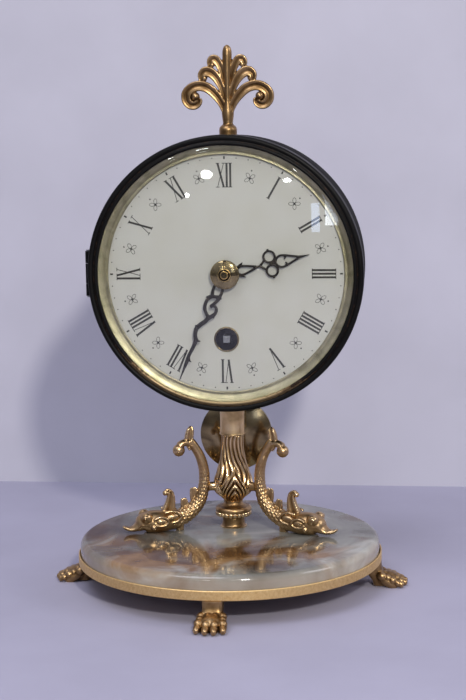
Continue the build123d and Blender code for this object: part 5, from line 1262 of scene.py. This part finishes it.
class CLOCK_OT_stage(bpy.types.Operator):
    """Pale floor and wall, lamps and the camera"""

    bl_idname = "clock.stage"
    bl_label = "Stage"

    def execute(self, context):
        scene = context.scene
        scene.view_settings.view_transform = "Standard"

        # The floor is painted darker towards the viewer, a painted shade, so that its front edge isn't seen
        tree, shader = cloth("floor", "#A4A1B4", Matrix.Translation((0, FLOOR_BACK, 0)), FLOOR_SIZE)
        place = add_node(tree, "ShaderNodeTexCoord").outputs["Object"]
        ahead = add_node(tree, "ShaderNodeSeparateXYZ", None, {0: place}).outputs["Y"]
        fade = add_node(tree, "ShaderNodeMapRange", carried(*FLOOR_PAINTED_SHADE), {"Value": ahead})
        tone = add_node(tree, "ShaderNodeMix", {"data_type": "RGBA", "A": linear("#312F36")}, {
            "Factor": fade.outputs["Result"], "B": shader.inputs["Base Color"].links[0].from_socket})
        wire(tree, shader, {"Base Color": tone.outputs["Result"]})

        # The wall is clear from behind, so that views of the clock's back look through it
        tree, shader = cloth("wall", "#C2C0CC", Matrix.Translation((0, WALL_BACK, 0)) @ UPRIGHT, WALL_SIZE)
        behind = add_node(tree, "ShaderNodeNewGeometry").outputs["Backfacing"]
        clear = add_node(tree, "ShaderNodeBsdfTransparent")
        mix = add_node(tree, "ShaderNodeMixShader", None,
                       {0: behind, 1: shader.outputs["BSDF"], 2: clear.outputs["BSDF"]})
        wire(tree, tree.nodes["Material Output"], {"Surface": mix.outputs["Shader"]})

        scene.world = bpy.data.worlds.new("room")
        scene.world.use_nodes = True
        tree = scene.world.node_tree
        heading = add_node(tree, "ShaderNodeTexCoord").outputs["Generated"]
        height = add_node(tree, "ShaderNodeSeparateXYZ", None, {0: heading}).outputs["Z"]
        share = add_node(tree, "ShaderNodeMapRange", carried(-1.0, 1.0), {"Value": height})
        tone = add_node(tree, "ShaderNodeValToRGB", {"ramp": [
            (0.0, "#2C2926"), (0.45, "#514D4C"), (0.6, "#9496A6"), (1.0, "#DCE0EE")]},
            {"Fac": share.outputs["Result"]})
        wire(tree, tree.nodes["Background"], {"Color": tone.outputs["Color"]})
        tree.nodes["Background"].inputs["Strength"].default_value = ROOM_LIGHT

        for name, bearing, rise, away, width, height, power, shade in LAMPS:
            light = bpy.data.lights.new(name, "AREA")
            light.shape = "RECTANGLE" if name == "pane" else "ELLIPSE"
            light.size, light.size_y = width, height
            light.energy = power
            light.color = linear(shade)[:3]
            lamp = bpy.data.objects.new(name, light)
            lamp.matrix_world = (Matrix.Translation(DRUM * MM) @ about_z(bearing)
                                 @ Matrix.Rotation(radians(90 - rise), 4, "X")
                                 @ Matrix.Translation((0, 0, away)))
            scene.collection.objects.link(lamp)

        lens = bpy.data.cameras.new("camera")
        lens.lens, lens.sensor_width, lens.clip_start = LENS, SENSOR, 0.01
        camera = bpy.data.objects.new("camera", lens)
        away = Vector((sin(AZIMUTH) * cos(ELEVATION), -cos(AZIMUTH) * cos(ELEVATION), sin(ELEVATION)))
        facing = (-away).to_track_quat("-Z", "Y").to_matrix().to_4x4()
        camera.matrix_world = (Matrix.Translation(TARGET + away * DISTANCE) @ facing
                               @ Matrix.Rotation(ROLL, 4, "Z"))
        scene.collection.objects.link(camera)
        scene.camera = camera
        return {"FINISHED"}


STEPS = (CLOCK_OT_base, CLOCK_OT_column, CLOCK_OT_dolphins, CLOCK_OT_case, CLOCK_OT_glazing,
         CLOCK_OT_finial, CLOCK_OT_dial, CLOCK_OT_hands, CLOCK_OT_pendulum, CLOCK_OT_movement,
         CLOCK_OT_stage)


class CLOCK_PT_build(bpy.types.Panel):
    """Lists the clock's pieces in the sidebar"""

    bl_label = "Table Clock"
    bl_space_type = "VIEW_3D"
    bl_region_type = "UI"
    bl_category = "Clock"

    def draw(self, context):
        for step in STEPS:
            self.layout.operator(step.bl_idname)
        for group in (context.scene.clock_sizes, context.scene.clock_colours):
            for name in group.__annotations__:
                self.layout.prop(group, name)


CLASSES = (ClockSizes, ClockColours, *STEPS, CLOCK_PT_build)


def register():
    for each in CLASSES:
        bpy.utils.register_class(each)
    bpy.types.Scene.clock_sizes = bpy.props.PointerProperty(type=ClockSizes)
    bpy.types.Scene.clock_colours = bpy.props.PointerProperty(type=ClockColours)


def unregister():
    del bpy.types.Scene.clock_sizes
    del bpy.types.Scene.clock_colours
    for each in reversed(CLASSES):
        bpy.utils.unregister_class(each)


def main():
    register()
    for step in STEPS:
        group, name = step.bl_idname.split(".")
        getattr(getattr(bpy.ops, group), name)()


if __name__ == "__main__":
    main()
